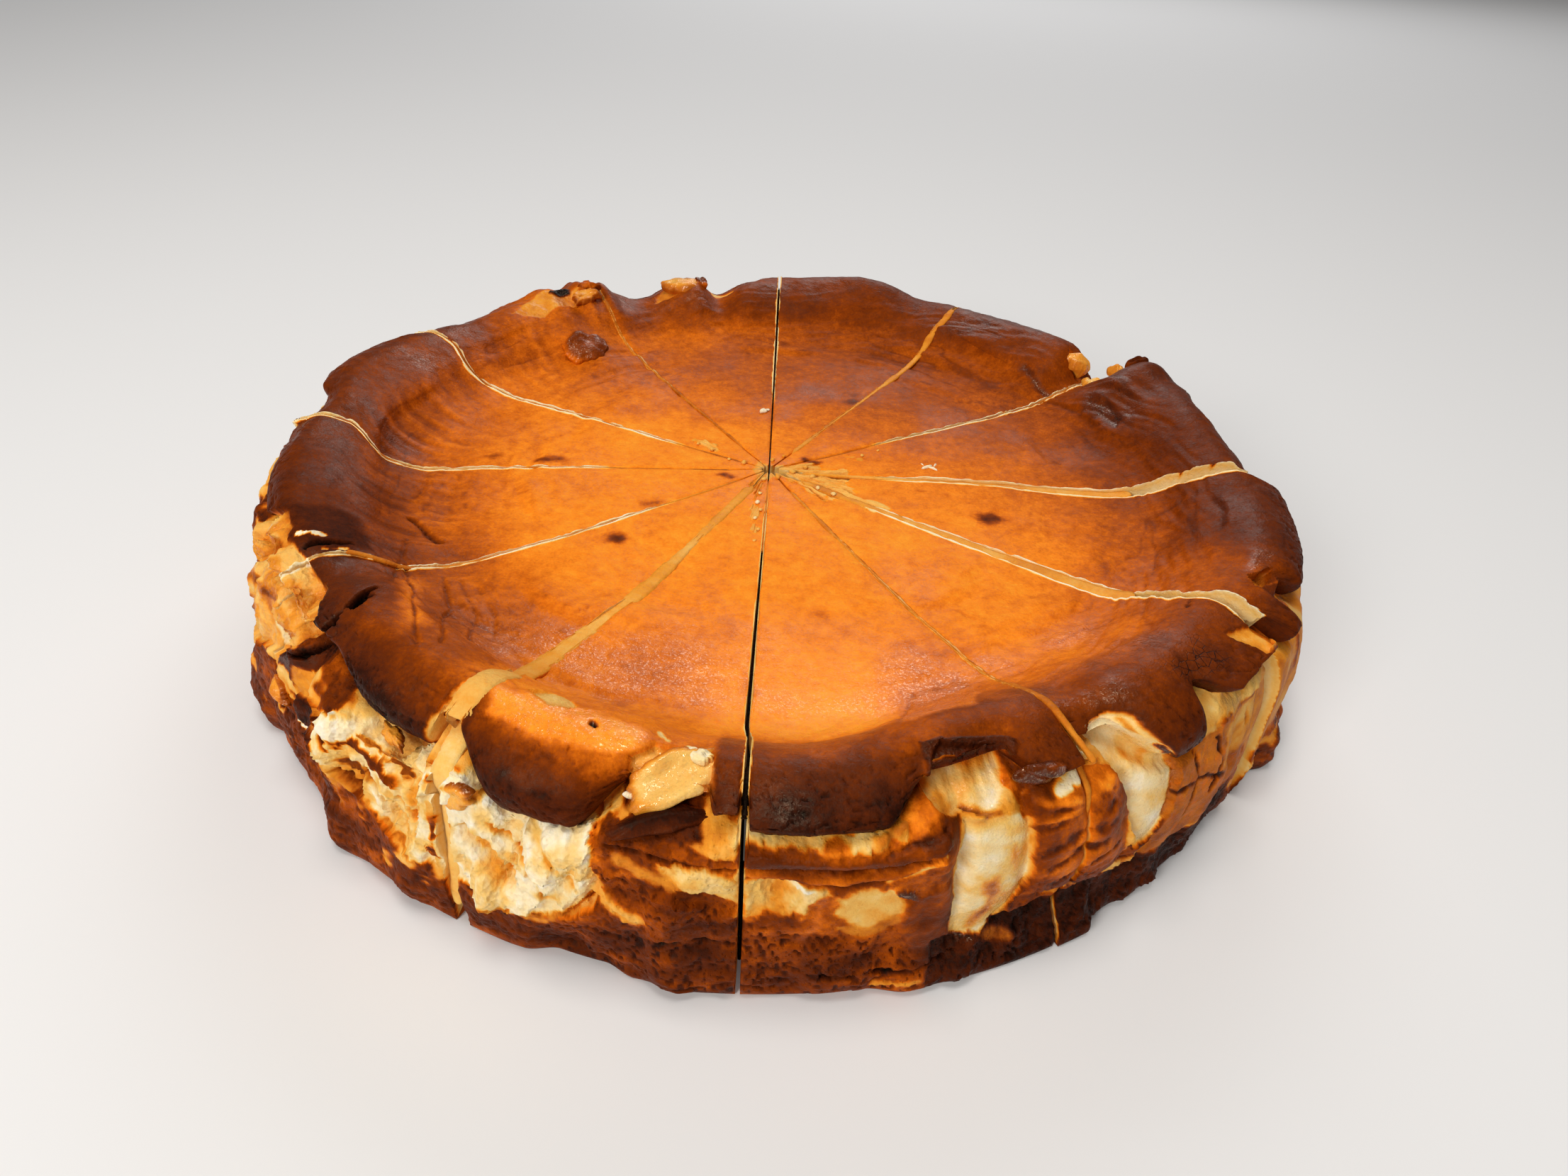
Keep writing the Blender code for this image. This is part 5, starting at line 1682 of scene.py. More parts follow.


# ------------------------------------------------------------- smears, painted shade strips and crumbs


@dataclass(frozen=True)
class CutStrip:
    """A strip along a cut. Most are curd that the knife drew; the near-black ones sunk deep inside
    the open cuts are painted shade.

    profile is its outline across the cut: shares of its half width, and heights.
    """

    cut: int
    look: CutLook
    outline: Outline
    painter: Painter
    step: float = 0.5
    wall_top: float = 38.0
    profile: tuple[tuple[float, float], ...] = (
        (-1.0, -0.7), (-0.9, -0.12), (-0.45, 0.0), (0.0, 0.04), (0.45, 0.0), (0.9, -0.12),
        (1.0, -0.7), (0.0, -0.9), (-1.0, -0.7),
    )

    def sheet(self) -> MeshPart:
        """Shape the strip.

        Returns:
            The strip as a closed tube, on a grid.
        """
        form, look, cut = self.outline.form, self.look, CUTS[self.cut]
        azimuth = cut.azimuth + cut.stray_rim
        reach, level = (values[::-1, 0] for values in self.outline.at(np.array([azimuth])))
        steps = np.cumsum(np.hypot(np.diff(reach), np.diff(level)))
        length = reach[0] + np.concatenate([[0.0], steps])
        along = np.arange(look.start, min(look.end, length[-1]), self.step)
        reach, level = np.interp(along, length, reach), np.interp(along, length, level)
        lane = self.cut * 13.0
        beside = lane + 0.0 * along
        ragged = self.painter.edge.rough(along / 3.0 + lane, beside, 0.0, octaves=4, gain=0.65)
        slow = self.painter.noise.rough(along / 14.0 + lane, beside, 0.0, octaves=2)
        taper = smooth((along - look.start) / 3.0) * smooth((look.end - along) / 2.0)
        half = look.strip_width * (1.0 + 0.3 * ragged + 0.3 * slow) * (0.15 + 0.85 * taper)
        half = half + 0.5 * cut.gap * smooth((reach - 15.0) / 90.0) * taper
        on_wall = smooth((self.wall_top - level) / 6.0) * (reach > 100.0)
        half = half * (1.0 - 0.4 * on_wall)
        left = form.placed(self.cut, reach, level, np.zeros_like(along))
        right = form.placed((self.cut - 1) % len(CUTS), reach, level, np.ones_like(along))
        middle = 0.5 * (left + right)
        out, across = upright(math.radians(azimuth))
        run, rise = np.gradient(reach), np.gradient(level)
        steep = np.hypot(run, rise)
        square = (-rise / steep)[:, None] * out + (run / steep)[:, None] * UP
        lift = look.strip_level + 0.10 * ragged - 1.3 * on_wall
        points = np.zeros((len(along), len(self.profile), 3))
        for column, (aside, up) in enumerate(self.profile):
            height = lift * taper - 0.5 * (1.0 - taper) + up
            to_side = across * (aside * half * MM)[:, None]
            points[:, column] = middle + to_side + square * (height * MM)[:, None]
        points[0], points[-1] = points[0].mean(axis=0), points[-1].mean(axis=0)

        # A pale strip is a little browner on the lip, as the crust is there.
        lip_bake = 0.27 if look.strip_bake < 0.43 else look.strip_bake + 0.04
        bake = mix(look.strip_bake, lip_bake, smooth((reach - 98.0) / 12.0))
        bake = (bake + 0.05 * slow + 0.04 * ragged)[:, None]
        shape = points.shape[:2]
        return MeshPart(points, looks(shape, bake, 1.0, 0.45), looks(shape, 0.3, 0.0, 0.0))


@dataclass(frozen=True)
class CutStrips:
    """The strips in all cuts, as one piece: curd that the knife drew, and painted shade deep
    inside the open cuts.
    """

    outline: Outline
    painter: Painter

    def build(self, finish: bpy.types.Material) -> bpy.types.Object:
        """Make the strips.

        Args:
            finish: Their material.

        Returns:
            The piece.
        """
        bm = bmesh.new()
        # Curd strips for every cut, then the strips of painted shade deep inside the open cuts.
        for cut, look in (*enumerate(CUT_LOOKS), *SHADE_STRIPS_IN_CUT):
            CutStrip(cut, look, self.outline, self.painter).sheet().add_to(bm)
        bmesh.ops.remove_doubles(bm, verts=bm.verts, dist=MERGE)
        return finished(bm, "cake_smears_and_shade_strips", finish)


def look_layers(bm: bmesh.types.BMesh) -> tuple[object, object]:
    """Layers for the looks of each corner, tone and grain."""
    return tuple(bm.verts.layers.float_color.new(name) for name in ("tone", "grain"))


@dataclass(frozen=True)
class Crumb:
    """A loose crumb: where it lies from the middle, its size and how pale it is."""

    x: float
    y: float
    size: float
    bake: float = 0.04
    squash: float = 0.7
    turn: float = 0.0
    stretch: float = 1.0


CRUMBS = table(
    Crumb,
    (-2.6, 33.0, 1.0, 0.04, 0.7, 20.0, 1.3), (-1.4, 34.2, 0.5),
    (41.0, 4.6, 0.9, 0.04, 0.7, 30.0, 1.9), (42.6, 4.0, 0.8, 0.04, 0.7, -40.0, 1.9),
    (43.4, 6.0, 0.55, 0.04, 0.7, 70.0, 1.8), (40.0, 6.2, 0.4, 0.04, 0.7, -60.0, 1.6),
    (-1.9, -12.0, 0.5, 0.2), (-2.3, -16.5, 0.6, 0.12), (-1.5, -20.0, 0.45, 0.25),
    (-2.6, -24.0, 0.5, 0.15), (-1.7, -29.0, 0.4, 0.3), (-2.5, -34.0, 0.45, 0.3),
    (-1.0, -5.0, 0.7, 0.3), (2.0, -3.4, 0.8, 0.36), (5.4, -1.0, 0.9, 0.34), (8.6, 1.4, 0.8, 0.36),
    (10.6, -3.0, 0.7, 0.3), (12.0, -8.4, 0.6, 0.2), (16.0, -11.0, 0.6, 0.2),
    (-6.0, 2.4, 0.7, 0.34), (-10.0, 4.0, 0.5, 0.3), (-15.0, 8.6, 0.6, 0.32),
    (-19.0, 11.6, 0.5, 0.3), (0.6, 4.0, 0.7, 0.36), (3.4, 6.6, 0.5, 0.4), (24.0, 9.6, 0.5, 0.3),
    (28.6, 12.8, 0.45, 0.3),
)


@dataclass(frozen=True)
class Crumbs:
    """The loose crumbs on the cake, as one piece.

    lump is how uneven they are, lump_size the size of their unevenness.
    """

    form: CakeForm
    painter: Painter
    lump: float = 0.38
    lump_size: float = 0.7

    def centre(self, crumb: Crumb) -> Vector:
        """Find where a crumb lies.

        Args:
            crumb: The crumb.

        Returns:
            Its middle, in metres.
        """
        sizes = self.form.sizes
        apart = 1.0 + sizes.spread / max(math.hypot(crumb.x, crumb.y), 1.0)
        x = sizes.cuts_meet[0] + crumb.x * apart
        y = sizes.cuts_meet[1] + crumb.y * apart
        return Vector((x, y, sizes.dish_height + 0.3 * crumb.size)) * MM

    def build(self, finish: bpy.types.Material) -> bpy.types.Object:
        """Make the crumbs.

        Args:
            finish: Their material.

        Returns:
            The piece.
        """
        bm = bmesh.new()
        tone, grain = look_layers(bm)
        for number, crumb in enumerate(CRUMBS):
            radius = crumb.size * MM
            made = bmesh.ops.create_icosphere(bm, subdivisions=2, radius=radius)["verts"]
            turn = Matrix.Rotation(math.radians(crumb.turn), 4, "Z")
            size = Matrix.Diagonal((crumb.stretch, 1.0 / crumb.stretch, crumb.squash, 1.0))
            for vert in made:
                spot = np.array(vert.co) / MM / self.lump_size + 9.0 * number
                bump = self.painter.fine.rough(spot[0:1], spot[1:2], spot[2:3], octaves=2)
                vert.co *= 1.0 + self.lump * float(bump[0])
                vert[tone] = (crumb.bake, 1.0, 0.2, 1.0)
                vert[grain] = (0.4, 0.0, 0.0, 1.0)
            place = Matrix.Translation(self.centre(crumb)) @ turn @ size
            bmesh.ops.transform(bm, matrix=place, verts=made)
        return finished(bm, "cake_crumbs", finish)


@dataclass(frozen=True)
class Bulge:
    """A flap or lump that stands out from the cake: its place, half sizes and looks.

    turn lifts its right end, bow bends its ends inwards and dent hollows its middle. Its
    edge takes its own value on the side that faces edge_side, and the middle's on the
    other: a darker rim on pale lumps, and on dark flaps a lighter upper edge that is a
    painted highlight.
    """

    azimuth: float
    along: float
    across: float
    up: float
    out: float
    turn: float = 0.0
    lift: float = 0.0
    bow: float = 0.0
    dent: float = 0.0
    ragged: float = 0.15
    bake: float = 0.2
    edge_bake_and_highlight: float = 0.2
    edge_side: float = 90.0
    curd: float = 1.0
    gloss: float = 0.8
    torn: float = 0.0


# A dark flap whose edge is lighter than its middle on its upper side has a painted highlight
# there.
BULGES = (
    Bulge(-96.4, 53.5, 8.8, 4.6, 2.6, turn=32.0, lift=-0.4, bow=1.6, dent=2.4, ragged=0.14,
          bake=0.30, edge_bake_and_highlight=0.56, edge_side=115.0, gloss=1.0),
    Bulge(-94.6, 60.6, 2.6, 1.6, 1.2, turn=-20.0, ragged=0.3, bake=0.12, edge_bake_and_highlight=0.3, torn=0.5),
    Bulge(-96.5, 41.6, 9.0, 2.5, 1.5, turn=17.0, lift=1.0, bow=1.2, ragged=0.16, bake=0.88,
          edge_bake_and_highlight=0.66, edge_side=60.0, curd=0.0, gloss=0.5),
    Bulge(-98.7, 46.4, 3.3, 1.0, 1.0, turn=-48.0, lift=2.2, ragged=0.4, bake=0.0, edge_bake_and_highlight=0.1,
          gloss=0.2, torn=0.8),
    Bulge(-66.2, 50.8, 7.0, 3.0, 1.6, turn=-32.0, lift=0.2, bow=1.0, ragged=0.16, bake=0.86,
          edge_bake_and_highlight=0.76, edge_side=100.0, curd=0.0, gloss=1.0),
    Bulge(-62.2, 45.6, 3.4, 1.3, 1.0, turn=14.0, lift=0.4, ragged=0.4, bake=0.10, edge_bake_and_highlight=0.3,
          torn=0.6),
    Bulge(132.0, 91.0, 7.6, 6.4, 3.4, turn=20.0, lift=-0.8, ragged=0.14, bake=0.70, edge_bake_and_highlight=0.54,
          edge_side=-60.0, curd=0.0, gloss=0.8),
    Bulge(126.0, 71.0, 5.0, 2.4, 2.0, turn=10.0, lift=-0.4, ragged=0.3, bake=0.46, edge_bake_and_highlight=0.6,
          torn=0.3),
    Bulge(124.2, 66.0, 3.4, 2.3, 2.0, turn=-10.0, lift=0.2, ragged=0.3, bake=0.54, edge_bake_and_highlight=0.66,
          curd=0.0, gloss=0.6),
    Bulge(107.5, 67.0, 6.6, 4.6, 2.4, turn=-6.0, lift=-0.8, ragged=0.2, bake=0.38, edge_bake_and_highlight=0.56,
          gloss=1.0),
    Bulge(104.0, 67.0, 2.2, 2.6, 2.0, turn=30.0, lift=0.2, ragged=0.2, bake=0.78, edge_bake_and_highlight=0.6,
          curd=0.0, gloss=1.0),
    Bulge(33.4, 63.0, 4.2, 3.6, 3.2, lift=0.4, ragged=0.2, bake=0.38, edge_bake_and_highlight=0.44, gloss=1.0),
    Bulge(30.0, 65.0, 3.4, 3.0, 2.6, lift=0.2, ragged=0.3, bake=0.32, edge_bake_and_highlight=0.40, gloss=1.0),
    Bulge(27.0, 67.0, 2.8, 2.0, 2.2, lift=0.0, ragged=0.3, bake=0.36, edge_bake_and_highlight=0.44, gloss=1.0),
    Bulge(25.2, 64.0, 1.3, 3.6, 3.0, turn=-12.0, lift=-0.9, ragged=0.12, bake=0.82, edge_bake_and_highlight=0.72,
          curd=0.0, gloss=0.4),
    Bulge(-138.6, 24.0, 3.4, 1.6, 1.4, turn=-24.0, lift=0.8, ragged=0.35, bake=0.42, edge_bake_and_highlight=0.6,
          torn=0.5),
    Bulge(-113.2, 36.4, 3.2, 2.6, 1.6, turn=30.0, lift=0.6, ragged=0.3, bake=0.36, edge_bake_and_highlight=0.64,
          torn=0.6),
    Bulge(-119.6, 39.4, 3.8, 1.5, 1.3, turn=-22.0, lift=0.6, ragged=0.35, bake=0.40, edge_bake_and_highlight=0.7,
          torn=0.5),
)


@dataclass(frozen=True)
class Bulges:
    """The flaps and lumps that stand out from the cake, as one piece."""

    outline: Outline
    painter: Painter
    wall_top: float = 42.0

    def spot(self, bulge: Bulge) -> tuple[Array, Array]:
        """Find where a bulge sits.

        Args:
            bulge: The bulge.

        Returns:
            Its middle in metres, and its axes: right, up along the outline, and out.
        """
        azimuth, places = np.array([bulge.azimuth]), self.outline.places
        reach, height = self.outline.at(azimuth)
        s = Surface.lay_out(azimuth, reach, height, places)
        if bulge.along < self.wall_top:
            other_side = places > Station.NECK.value
        else:
            other_side = places < Station.HEM.value
        row = int(np.argmin(np.abs(s.along[:, 0] - bulge.along) + 1e3 * other_side))
        run, rise = (np.gradient(values[:, 0])[row] for values in (reach, height))
        run, rise = run / math.hypot(run, rise), rise / math.hypot(run, rise)
        for index in range(len(CUTS)):
            first, _, span = cuts_of(index)
            share = turned(bulge.azimuth, first.azimuth) / span
            if 0.0 <= share < 1.0:
                break
        middle = self.outline.form.placed(index, reach[row, 0], height[row, 0], np.array(share))
        away, aside = upright(math.radians(bulge.azimuth))
        up = run * away + rise * UP
        out = rise * away - run * UP
        turn = math.radians(bulge.turn)
        right = math.cos(turn) * aside + math.sin(turn) * up
        return middle, np.array([right, math.cos(turn) * up - math.sin(turn) * aside, out])

    def form(self, ball: Array, number: int) -> tuple[Array, Array]:
        """Shape a ball into a bulge.

        Args:
            ball: Points of a ball with a radius of 1.
            number: Number of the bulge.

        Returns:
            Points in metres, and how far each is baked.
        """
        bulge = BULGES[number]
        wide = np.hypot(ball[:, 0], ball[:, 1]) + 1e-9
        rim = np.array([ball[:, 0] / wide, ball[:, 1] / wide]) * 1.6 + 7.0 * number
        rough = self.painter.fine.rough(rim[0], rim[1], 0.0 * wide, octaves=3, gain=0.6)
        octaves = 2 + round(bulge.torn)
        at = ball.T * 1.1 + 9.0 * number
        lump = self.painter.noise.rough(*at, octaves=octaves, gain=0.35)
        x = ball[:, 0] * (1.0 + bulge.ragged * 1.6 * rough) * bulge.across
        y = ball[:, 1] * (1.0 + bulge.ragged * 1.6 * rough) * bulge.up
        z = ball[:, 2] * (1.0 + 0.5 * lump) * bulge.out + bulge.lift - bulge.bow * ball[:, 0] ** 2
        z = z - bulge.dent * smooth(1.25 - 1.4 * wide) * smooth(3.0 * ball[:, 2])
        middle, axes = self.spot(bulge)
        points = middle + (np.stack([x, y, z], axis=-1) * MM) @ axes
        side = math.radians(bulge.edge_side)
        facing = (ball[:, 0] * math.cos(side) + ball[:, 1] * math.sin(side)) / wide
        # The edge's value: a darker rim on pale lumps, and on dark flaps a painted highlight along
        # the upper edge.
        edge = smooth((wide + 0.12 * rough - 0.66) / 0.3) * smooth((0.5 + 0.5 * facing) * 1.6)
        return points, mix(bulge.bake, bulge.edge_bake_and_highlight, edge) + 0.06 * lump

    def build(self, finish: bpy.types.Material) -> bpy.types.Object:
        """Make the bulges.

        Args:
            finish: Their material.

        Returns:
            The piece.
        """
        bm = bmesh.new()
        tone, grain = look_layers(bm)
        splits = self.outline.fineness.lump_splits
        for number, bulge in enumerate(BULGES):
            made = bmesh.ops.create_icosphere(bm, subdivisions=splits, radius=1.0)["verts"]
            points, bake = self.form(np.array([vert.co for vert in made]), number)
            for vert, point, value in zip(made, points, bake):
                vert.co = point
                vert[tone] = (value, bulge.curd, bulge.gloss, 1.0)
                vert[grain] = (bulge.torn, 0.0, 0.0, 1.0)
        return finished(bm, "cake_bulges", finish)


# ---------------------------------------------------------------------- finishes


def linear(red: int, green: int, blue: int) -> Color:
    """A screen colour, 0 to 255 each, as linear light."""
    parts = (value / 255.0 for value in (red, green, blue))
    return (*(v / 12.92 if v <= 0.04045 else ((v + 0.055) / 1.055) ** 2.4 for v in parts), 1.0)


Stops = tuple[tuple[float, int, int, int], ...]


@dataclass(frozen=True)
class CakeFinish:
    """Colours of crust and curd by how far they are baked, with the painted shade kept in that
    value, and their shine.

    The scales are those of the patterns on the piece's own coordinates, in turns a
    metre, and the depths are those of the fine bumps, in metres.
    """

    crust: Stops = (
        (0.26, 255, 176, 52),
        (0.34, 255, 156, 40),
        (0.42, 247, 134, 26),
        (0.50, 216, 106, 14),
        (0.58, 174, 78, 6),
        (0.66, 134, 55, 3),
        (0.74, 105, 41, 5),
        (0.82, 82, 31, 8),
        (0.91, 48, 17, 7),
        (1.00, 11, 3, 1),
    )
    curd: Stops = (
        (0.00, 252, 240, 214),
        (0.12, 248, 222, 166),
        (0.26, 242, 192, 102),
        (0.40, 236, 152, 46),
        (0.52, 204, 112, 26),
        (0.64, 144, 68, 14),
        (0.78, 86, 37, 10),
        (1.00, 20, 7, 3),
    )
    dull: float = 0.62
    shiny: float = 0.26
    sheen: tuple[float, float] = (0.04, 0.26)
    glint_rough: float = -0.16
    glint_level: float = 1.5
    broad_scale: float = 95.0
    mottle_scale: float = 420.0
    speck_scale: float = 1500.0
    glint_scale: float = 1900.0
    crack_scale: float = 620.0
    cell_scale: float = 900.0
    pit_scale: float = 1100.0
    crack_width: float = 0.07
    mottle_depth: float = 0.00030
    speck_depth: float = 0.00012
    pit_depth: float = 0.00022
    crack_depth: float = 0.00030
    cell_depth: float = 0.00030
    bump_strength: float = 0.9
    shine_color: Color = (1.0, 0.74, 0.50, 1.0)
    glow: float = 0.08
    glow_radius: tuple[float, float, float] = (1.0, 0.45, 0.18)
    glow_scale: float = 0.0022

    def build(self) -> bpy.types.Material:
        """Make the material that every piece of the cake has.

        Returns:
            The material.
        """
        material = bpy.data.materials.new("baked_cheesecake")
        material.use_nodes = True
        sketch = NodeSketch(material.node_tree)
        into = material.node_tree.nodes["Principled BSDF"].inputs
        where = sketch.add("TexCoord").outputs["Object"]
        bake, curd, gloss = sketch.kept("tone")
        torn, pores, cracks = sketch.kept("grain")

        mottle = sketch.noise(where, self.mottle_scale, 4.0, 0.6)
        speck = sketch.noise(where, self.speck_scale, 3.0, 0.6)
        broad = sketch.noise(where, self.broad_scale, 4.0, 0.55)
        vary = sketch.sum(
            sketch.varied(mottle, 0.20), sketch.varied(speck, 0.15), sketch.varied(broad, 0.17)
        )
        baked = sketch.sum(bake, sketch.times(vary, sketch.blend(0.95, 0.62, curd)))
        line = sketch.cells(where, self.crack_scale, "DISTANCE_TO_EDGE")
        thin = sketch.math("SUBTRACT", 1.0, sketch.ease(line, 0.0, self.crack_width))
        crack = sketch.times(thin, cracks)
        # Painted shade: the fine cracks are darkened as well as sunk by the bump.
        baked = sketch.sum(baked, sketch.times(crack, 0.35))
        curdy = sketch.ease(sketch.sum(curd, sketch.varied(mottle, 0.7)), 0.38, 0.62)
        color = sketch.add("Mix", data_type="RGBA")
        sketch.link(curdy, color.inputs["Factor"])
        sketch.link(sketch.ramp(baked, self.crust), color.inputs[6])
        sketch.link(sketch.ramp(baked, self.curd), color.inputs[7])
        sketch.link(color.outputs[2], into["Base Color"])

        # Shine follows what the mesh keeps, with wet glints where it is strongest.
        shine = sketch.sum(gloss, sketch.varied(broad, 0.35), sketch.varied(speck, 0.7))
        wet = sketch.ease(sketch.noise(where, self.glint_scale, 2.0, 0.5), 0.52, 0.64)
        glint = sketch.times(wet, sketch.ease(gloss, 0.60, 1.00))
        rough = sketch.blend(self.dull, self.shiny, sketch.ease(shine, 0.0, 1.0))
        level = sketch.blend(*self.sheen, sketch.ease(shine, 0.25, 1.1))
        sketch.link(sketch.sum(rough, sketch.times(glint, self.glint_rough)), into["Roughness"])
        sketch.link(
            sketch.sum(level, sketch.times(glint, self.glint_level)), into["Specular IOR Level"]
        )

        pits = sketch.times(
            sketch.ease(sketch.cells(where, self.pit_scale), 0.05, 0.35), self.pit_depth
        )
        cells = sketch.cells(where, self.cell_scale)
        height = sketch.sum(
            sketch.times(mottle, self.mottle_depth),
            sketch.times(speck, self.speck_depth),
            sketch.times(pits, sketch.blend(0.2, 1.0, pores)),
            sketch.times(crack, -self.crack_depth),
            sketch.times(sketch.times(cells, self.cell_depth), torn),
        )
        bump = sketch.add("Bump", Strength=self.bump_strength, Distance=1.0, Height=height)
        sketch.link(bump.outputs["Normal"], into["Normal"])
        into["Specular Tint"].default_value = self.shine_color
        into["Subsurface Weight"].default_value = self.glow
        into["Subsurface Radius"].default_value = self.glow_radius
        into["Subsurface Scale"].default_value = self.glow_scale
        return material


@dataclass(frozen=True)
class NodeSketch:
    """Short ways to add shader nodes to a tree."""

    tree: bpy.types.NodeTree

    def link(self, source: object, target: bpy.types.NodeSocket) -> None:
        """Join two sockets, or set the target where the source is a number.

        Args:
            source: Socket or number.
            target: Socket that it goes to.
        """
        if isinstance(source, (int, float)):
            target.default_value = source
        else:
            self.tree.links.new(source, target)

    def add(self, kind: str, **values: object) -> bpy.types.Node:
        """Add a node.

        Args:
            kind: Its type, without the words ShaderNode.
            **values: Its own settings in small letters, and its inputs with a capital.

        Returns:
            The node.
        """
        node = self.tree.nodes.new(f"ShaderNode{kind}")
        for name, value in values.items():
            if name[0].isupper():
                self.link(value, node.inputs[name.replace("_", " ")])
            else:
                setattr(node, name, value)
        return node

    def math(self, how: str, a: object, b: object) -> bpy.types.NodeSocket:
        """Reckon with two values.

        Args:
            how: Blender's name of what is done.
            a: First value.
            b: Second value.

        Returns:
            The result.
        """
        node = self.add("Math", operation=how)
        self.link(a, node.inputs[0])
        self.link(b, node.inputs[1])
        return node.outputs[0]

    def sum(self, total: object, *terms: object) -> bpy.types.NodeSocket:
        """Add values up.

        Args:
            total: The first of them.
            *terms: The others.

        Returns:
            Their sum.
        """
        for term in terms:
            total = self.math("ADD", total, term)
        return total

    def times(self, value: object, factor: object) -> bpy.types.NodeSocket:
        """A value times another."""
        return self.math("MULTIPLY", value, factor)

    def varied(self, value: object, factor: float) -> bpy.types.NodeSocket:
        """A noise value about nothing instead of a half, times a number."""
        return self.times(self.math("SUBTRACT", value, 0.5), factor)

    def blend(self, a: float, b: float, share: object) -> bpy.types.NodeSocket:
        """a where share is 0, b where it is 1."""
        return self.sum(self.times(share, b - a), a)

    def ease(self, value: object, low: float, high: float) -> bpy.types.NodeSocket:
        """0 below low and 1 over high, with a smooth step between them."""
        values = {"Value": value, "From_Min": low, "From_Max": high}
        return self.add("MapRange", interpolation_type="SMOOTHSTEP", **values).outputs[0]

    def kept(self, name: str) -> tuple[bpy.types.NodeSocket, ...]:
        """The three values that the mesh keeps under a name."""
        kept = self.add("Attribute", attribute_name=name).outputs["Color"]
        return tuple(self.add("SeparateColor", Color=kept).outputs)

    def noise(
        self, where: object, scale: float, detail: float, rough: float
    ) -> bpy.types.NodeSocket:
        """Cloudy noise, 0 to 1."""
        values = {"Vector": where, "Scale": scale, "Detail": detail, "Roughness": rough}
        return self.add("TexNoise", **values).outputs["Fac"]

    def cells(self, where: object, scale: float, feature: str = "F1") -> bpy.types.NodeSocket:
        """Distance from the middle of the nearest cell, or from its edge."""
        node = self.add("TexVoronoi", feature=feature, Scale=scale, Vector=where)
        return node.outputs["Distance"]

    def ramp(self, value: object, stops: Stops) -> bpy.types.NodeSocket:
        """Look a colour up by value.

        Args:
            value: The value.
            stops: Values, each with its screen colour.

        Returns:
            The colour.
        """
        node = self.add("ValToRGB", Fac=value)
        band = node.color_ramp.elements
        while len(band) < len(stops):
            band.new(0.5)
        for element, (at, *color) in zip(band, stops):
            element.position = at
            element.color = linear(*color)
        return node.outputs["Color"]


# ------------------------------------------------------------------ studio, main


@dataclass(frozen=True)
class Lamp:
    """A soft square light: where it is and what it points at, in metres."""

    name: str
    at: tuple[float, float, float]
    to: tuple[float, float, float]
    size: float
    watts: float
    color: tuple[float, float, float]

    def build(self) -> None:
        """Add the light."""
        light = bpy.data.lights.new(self.name, "AREA")
        light.size = self.size
        light.energy = self.watts
        light.color = self.color
        item = bpy.data.objects.new(self.name, light)
        item.location = self.at
        aim = Vector(self.to) - Vector(self.at)
        item.rotation_euler = aim.to_track_quat("-Z", "Y").to_euler()
        bpy.context.scene.collection.objects.link(item)


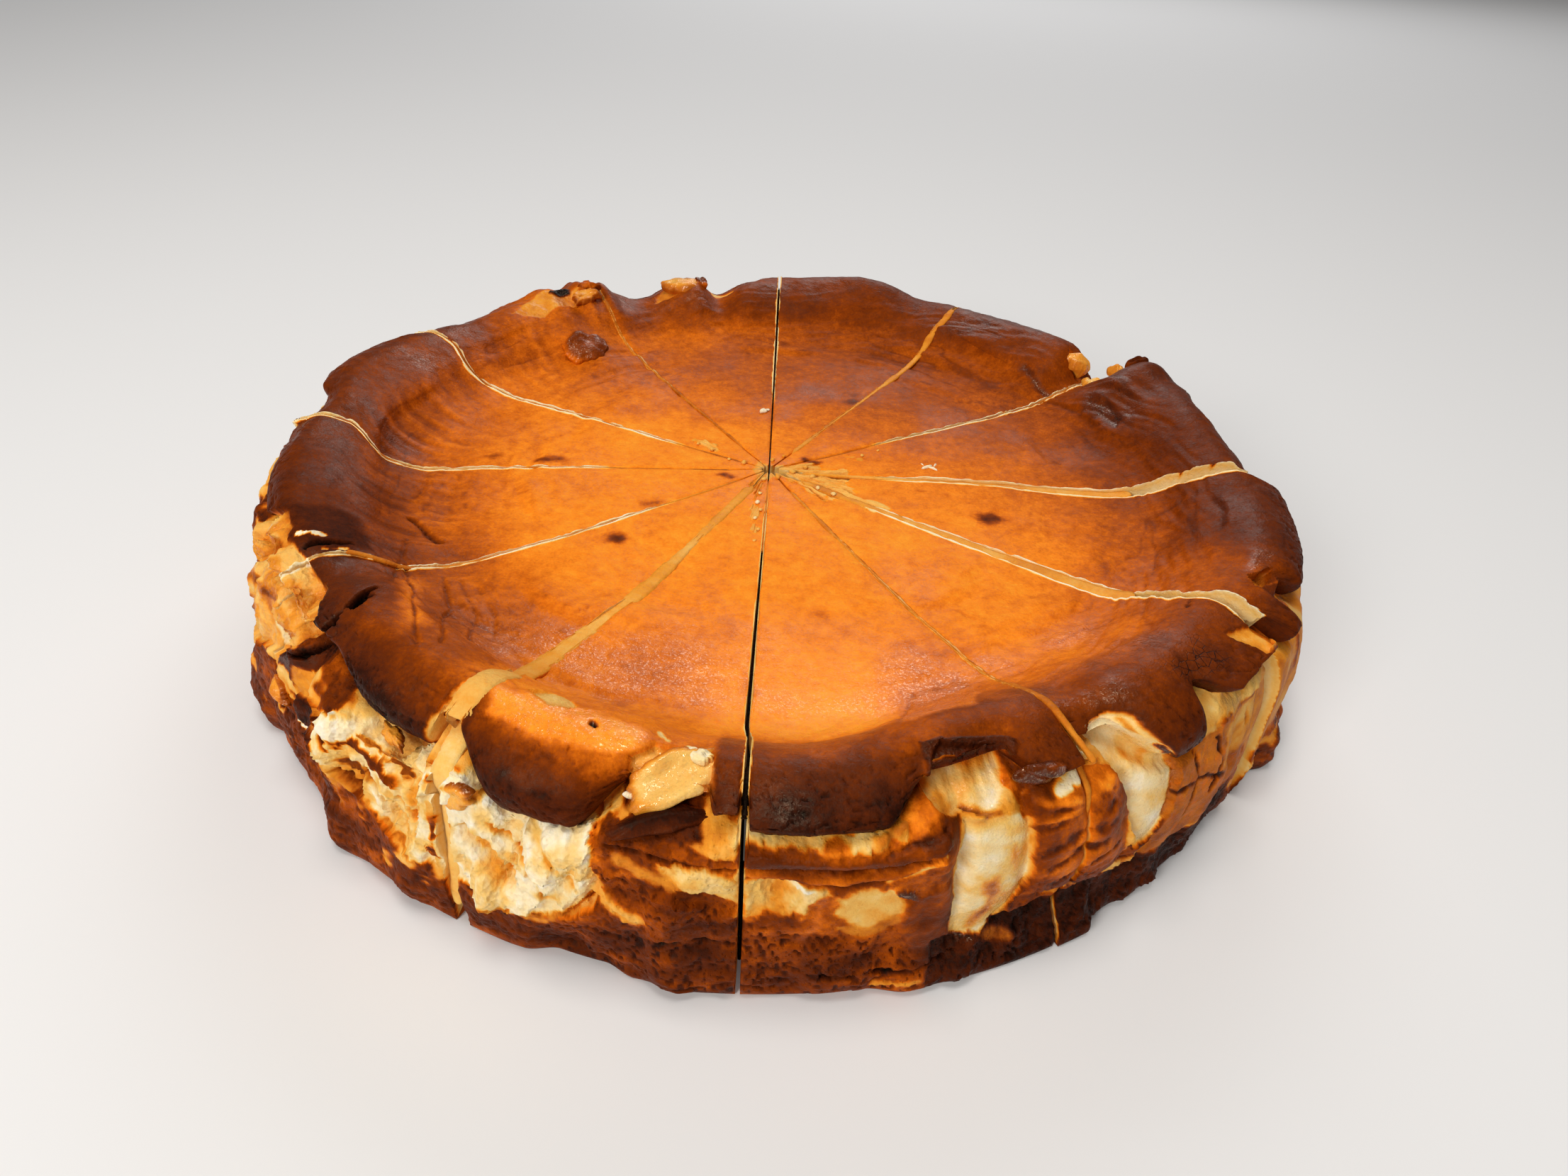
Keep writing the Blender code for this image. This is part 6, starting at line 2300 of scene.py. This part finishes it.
@dataclass(frozen=True)
class Studio:
    """Floor, light and camera. The camera's place is in millimetres, its turns in degrees."""

    camera_at: tuple[float, float, float] = (-0.5, -234.92, 168.31)
    yaw: float = 0.9
    dip: float = 35.5
    roll: float = 3.24
    lens: float = 23.598
    sensor: float = 36.0
    floor: Color = (0.80, 0.79, 0.78, 1.0)
    floor_half: float = 4.0
    floor_drop: float = 0.0002
    floor_glow: float = 0.06
    room: Color = (1.0, 0.985, 0.97, 1.0)
    room_light: float = 0.15
    lamps: tuple[Lamp, ...] = (
        Lamp("window", (0.26, 1.82, 1.25), (0.0, 0.0, 0.03), 1.3, 15.0, (0.97, 0.98, 1.0)),
        Lamp("ceiling", (-0.05, -0.15, 1.10), (0.0, 0.0, 0.0), 0.45, 5.6, (1.0, 0.98, 0.95)),
        Lamp("front", (-0.60, -0.90, 0.62), (0.0, -0.05, 0.03), 0.40, 8.0, (1.0, 0.98, 0.95)),
    )

    def build(self) -> None:
        """Set up floor, lights, world and camera."""
        self._floor()
        for lamp in self.lamps:
            lamp.build()
        world = bpy.data.worlds.new("room")
        world.use_nodes = True
        back = world.node_tree.nodes["Background"]
        back.inputs["Color"].default_value = self.room
        back.inputs["Strength"].default_value = self.room_light
        bpy.context.scene.world = world
        self._camera()
        bpy.context.scene.view_settings.view_transform = "Standard"

    def _floor(self) -> None:
        """Lay the floor just under the cake."""
        bm = bmesh.new()
        bmesh.ops.create_grid(bm, x_segments=1, y_segments=1, size=self.floor_half)
        mesh = bpy.data.meshes.new("floor")
        bm.to_mesh(mesh)
        bm.free()
        floor = bpy.data.objects.new("floor", mesh)
        floor.location.z = -self.floor_drop
        bpy.context.scene.collection.objects.link(floor)
        paint = bpy.data.materials.new("floor")
        paint.use_nodes = True
        shader = paint.node_tree.nodes["Principled BSDF"]
        shader.inputs["Base Color"].default_value = self.floor
        shader.inputs["Roughness"].default_value = 0.9
        shader.inputs["Emission Color"].default_value = self.floor
        shader.inputs["Emission Strength"].default_value = self.floor_glow
        mesh.materials.append(paint)

    def _camera(self) -> None:
        """Add the camera and make it the scene's."""
        yaw, dip, roll = (math.radians(v) for v in (self.yaw, self.dip, self.roll))
        level = math.cos(dip)
        ahead = Vector((math.sin(yaw) * level, math.cos(yaw) * level, -math.sin(dip)))
        right = ahead.cross(Vector((0.0, 0.0, 1.0))).normalized()
        up = right.cross(ahead)
        side = math.cos(roll) * right + math.sin(roll) * up
        top = -math.sin(roll) * right + math.cos(roll) * up
        camera = bpy.data.cameras.new("camera")
        camera.lens = self.lens
        camera.sensor_width = self.sensor
        camera.clip_start = 0.01
        item = bpy.data.objects.new("camera", camera)
        spin = Matrix((side, top, -ahead)).transposed().to_4x4()
        item.matrix_world = Matrix.Translation(Vector(self.camera_at) * MM) @ spin
        bpy.context.scene.collection.objects.link(item)
        bpy.context.scene.camera = item


def main() -> None:
    """Build the whole cake and its studio."""
    logging.basicConfig(level=logging.INFO, format="%(message)s")
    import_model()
    form = CakeForm()
    painter = Painter()
    outline = Outline(form, Fineness())
    finish = CakeFinish().build()
    for index in range(len(CUTS)):
        FineSlice(index, outline, painter).build(finish)
    CutStrips(outline, painter).build(finish)
    Bulges(outline, painter).build(finish)
    Crumbs(form, painter).build(finish)
    Studio().build()
    bpy.context.view_layer.update()


if __name__ == "__main__":
    main()
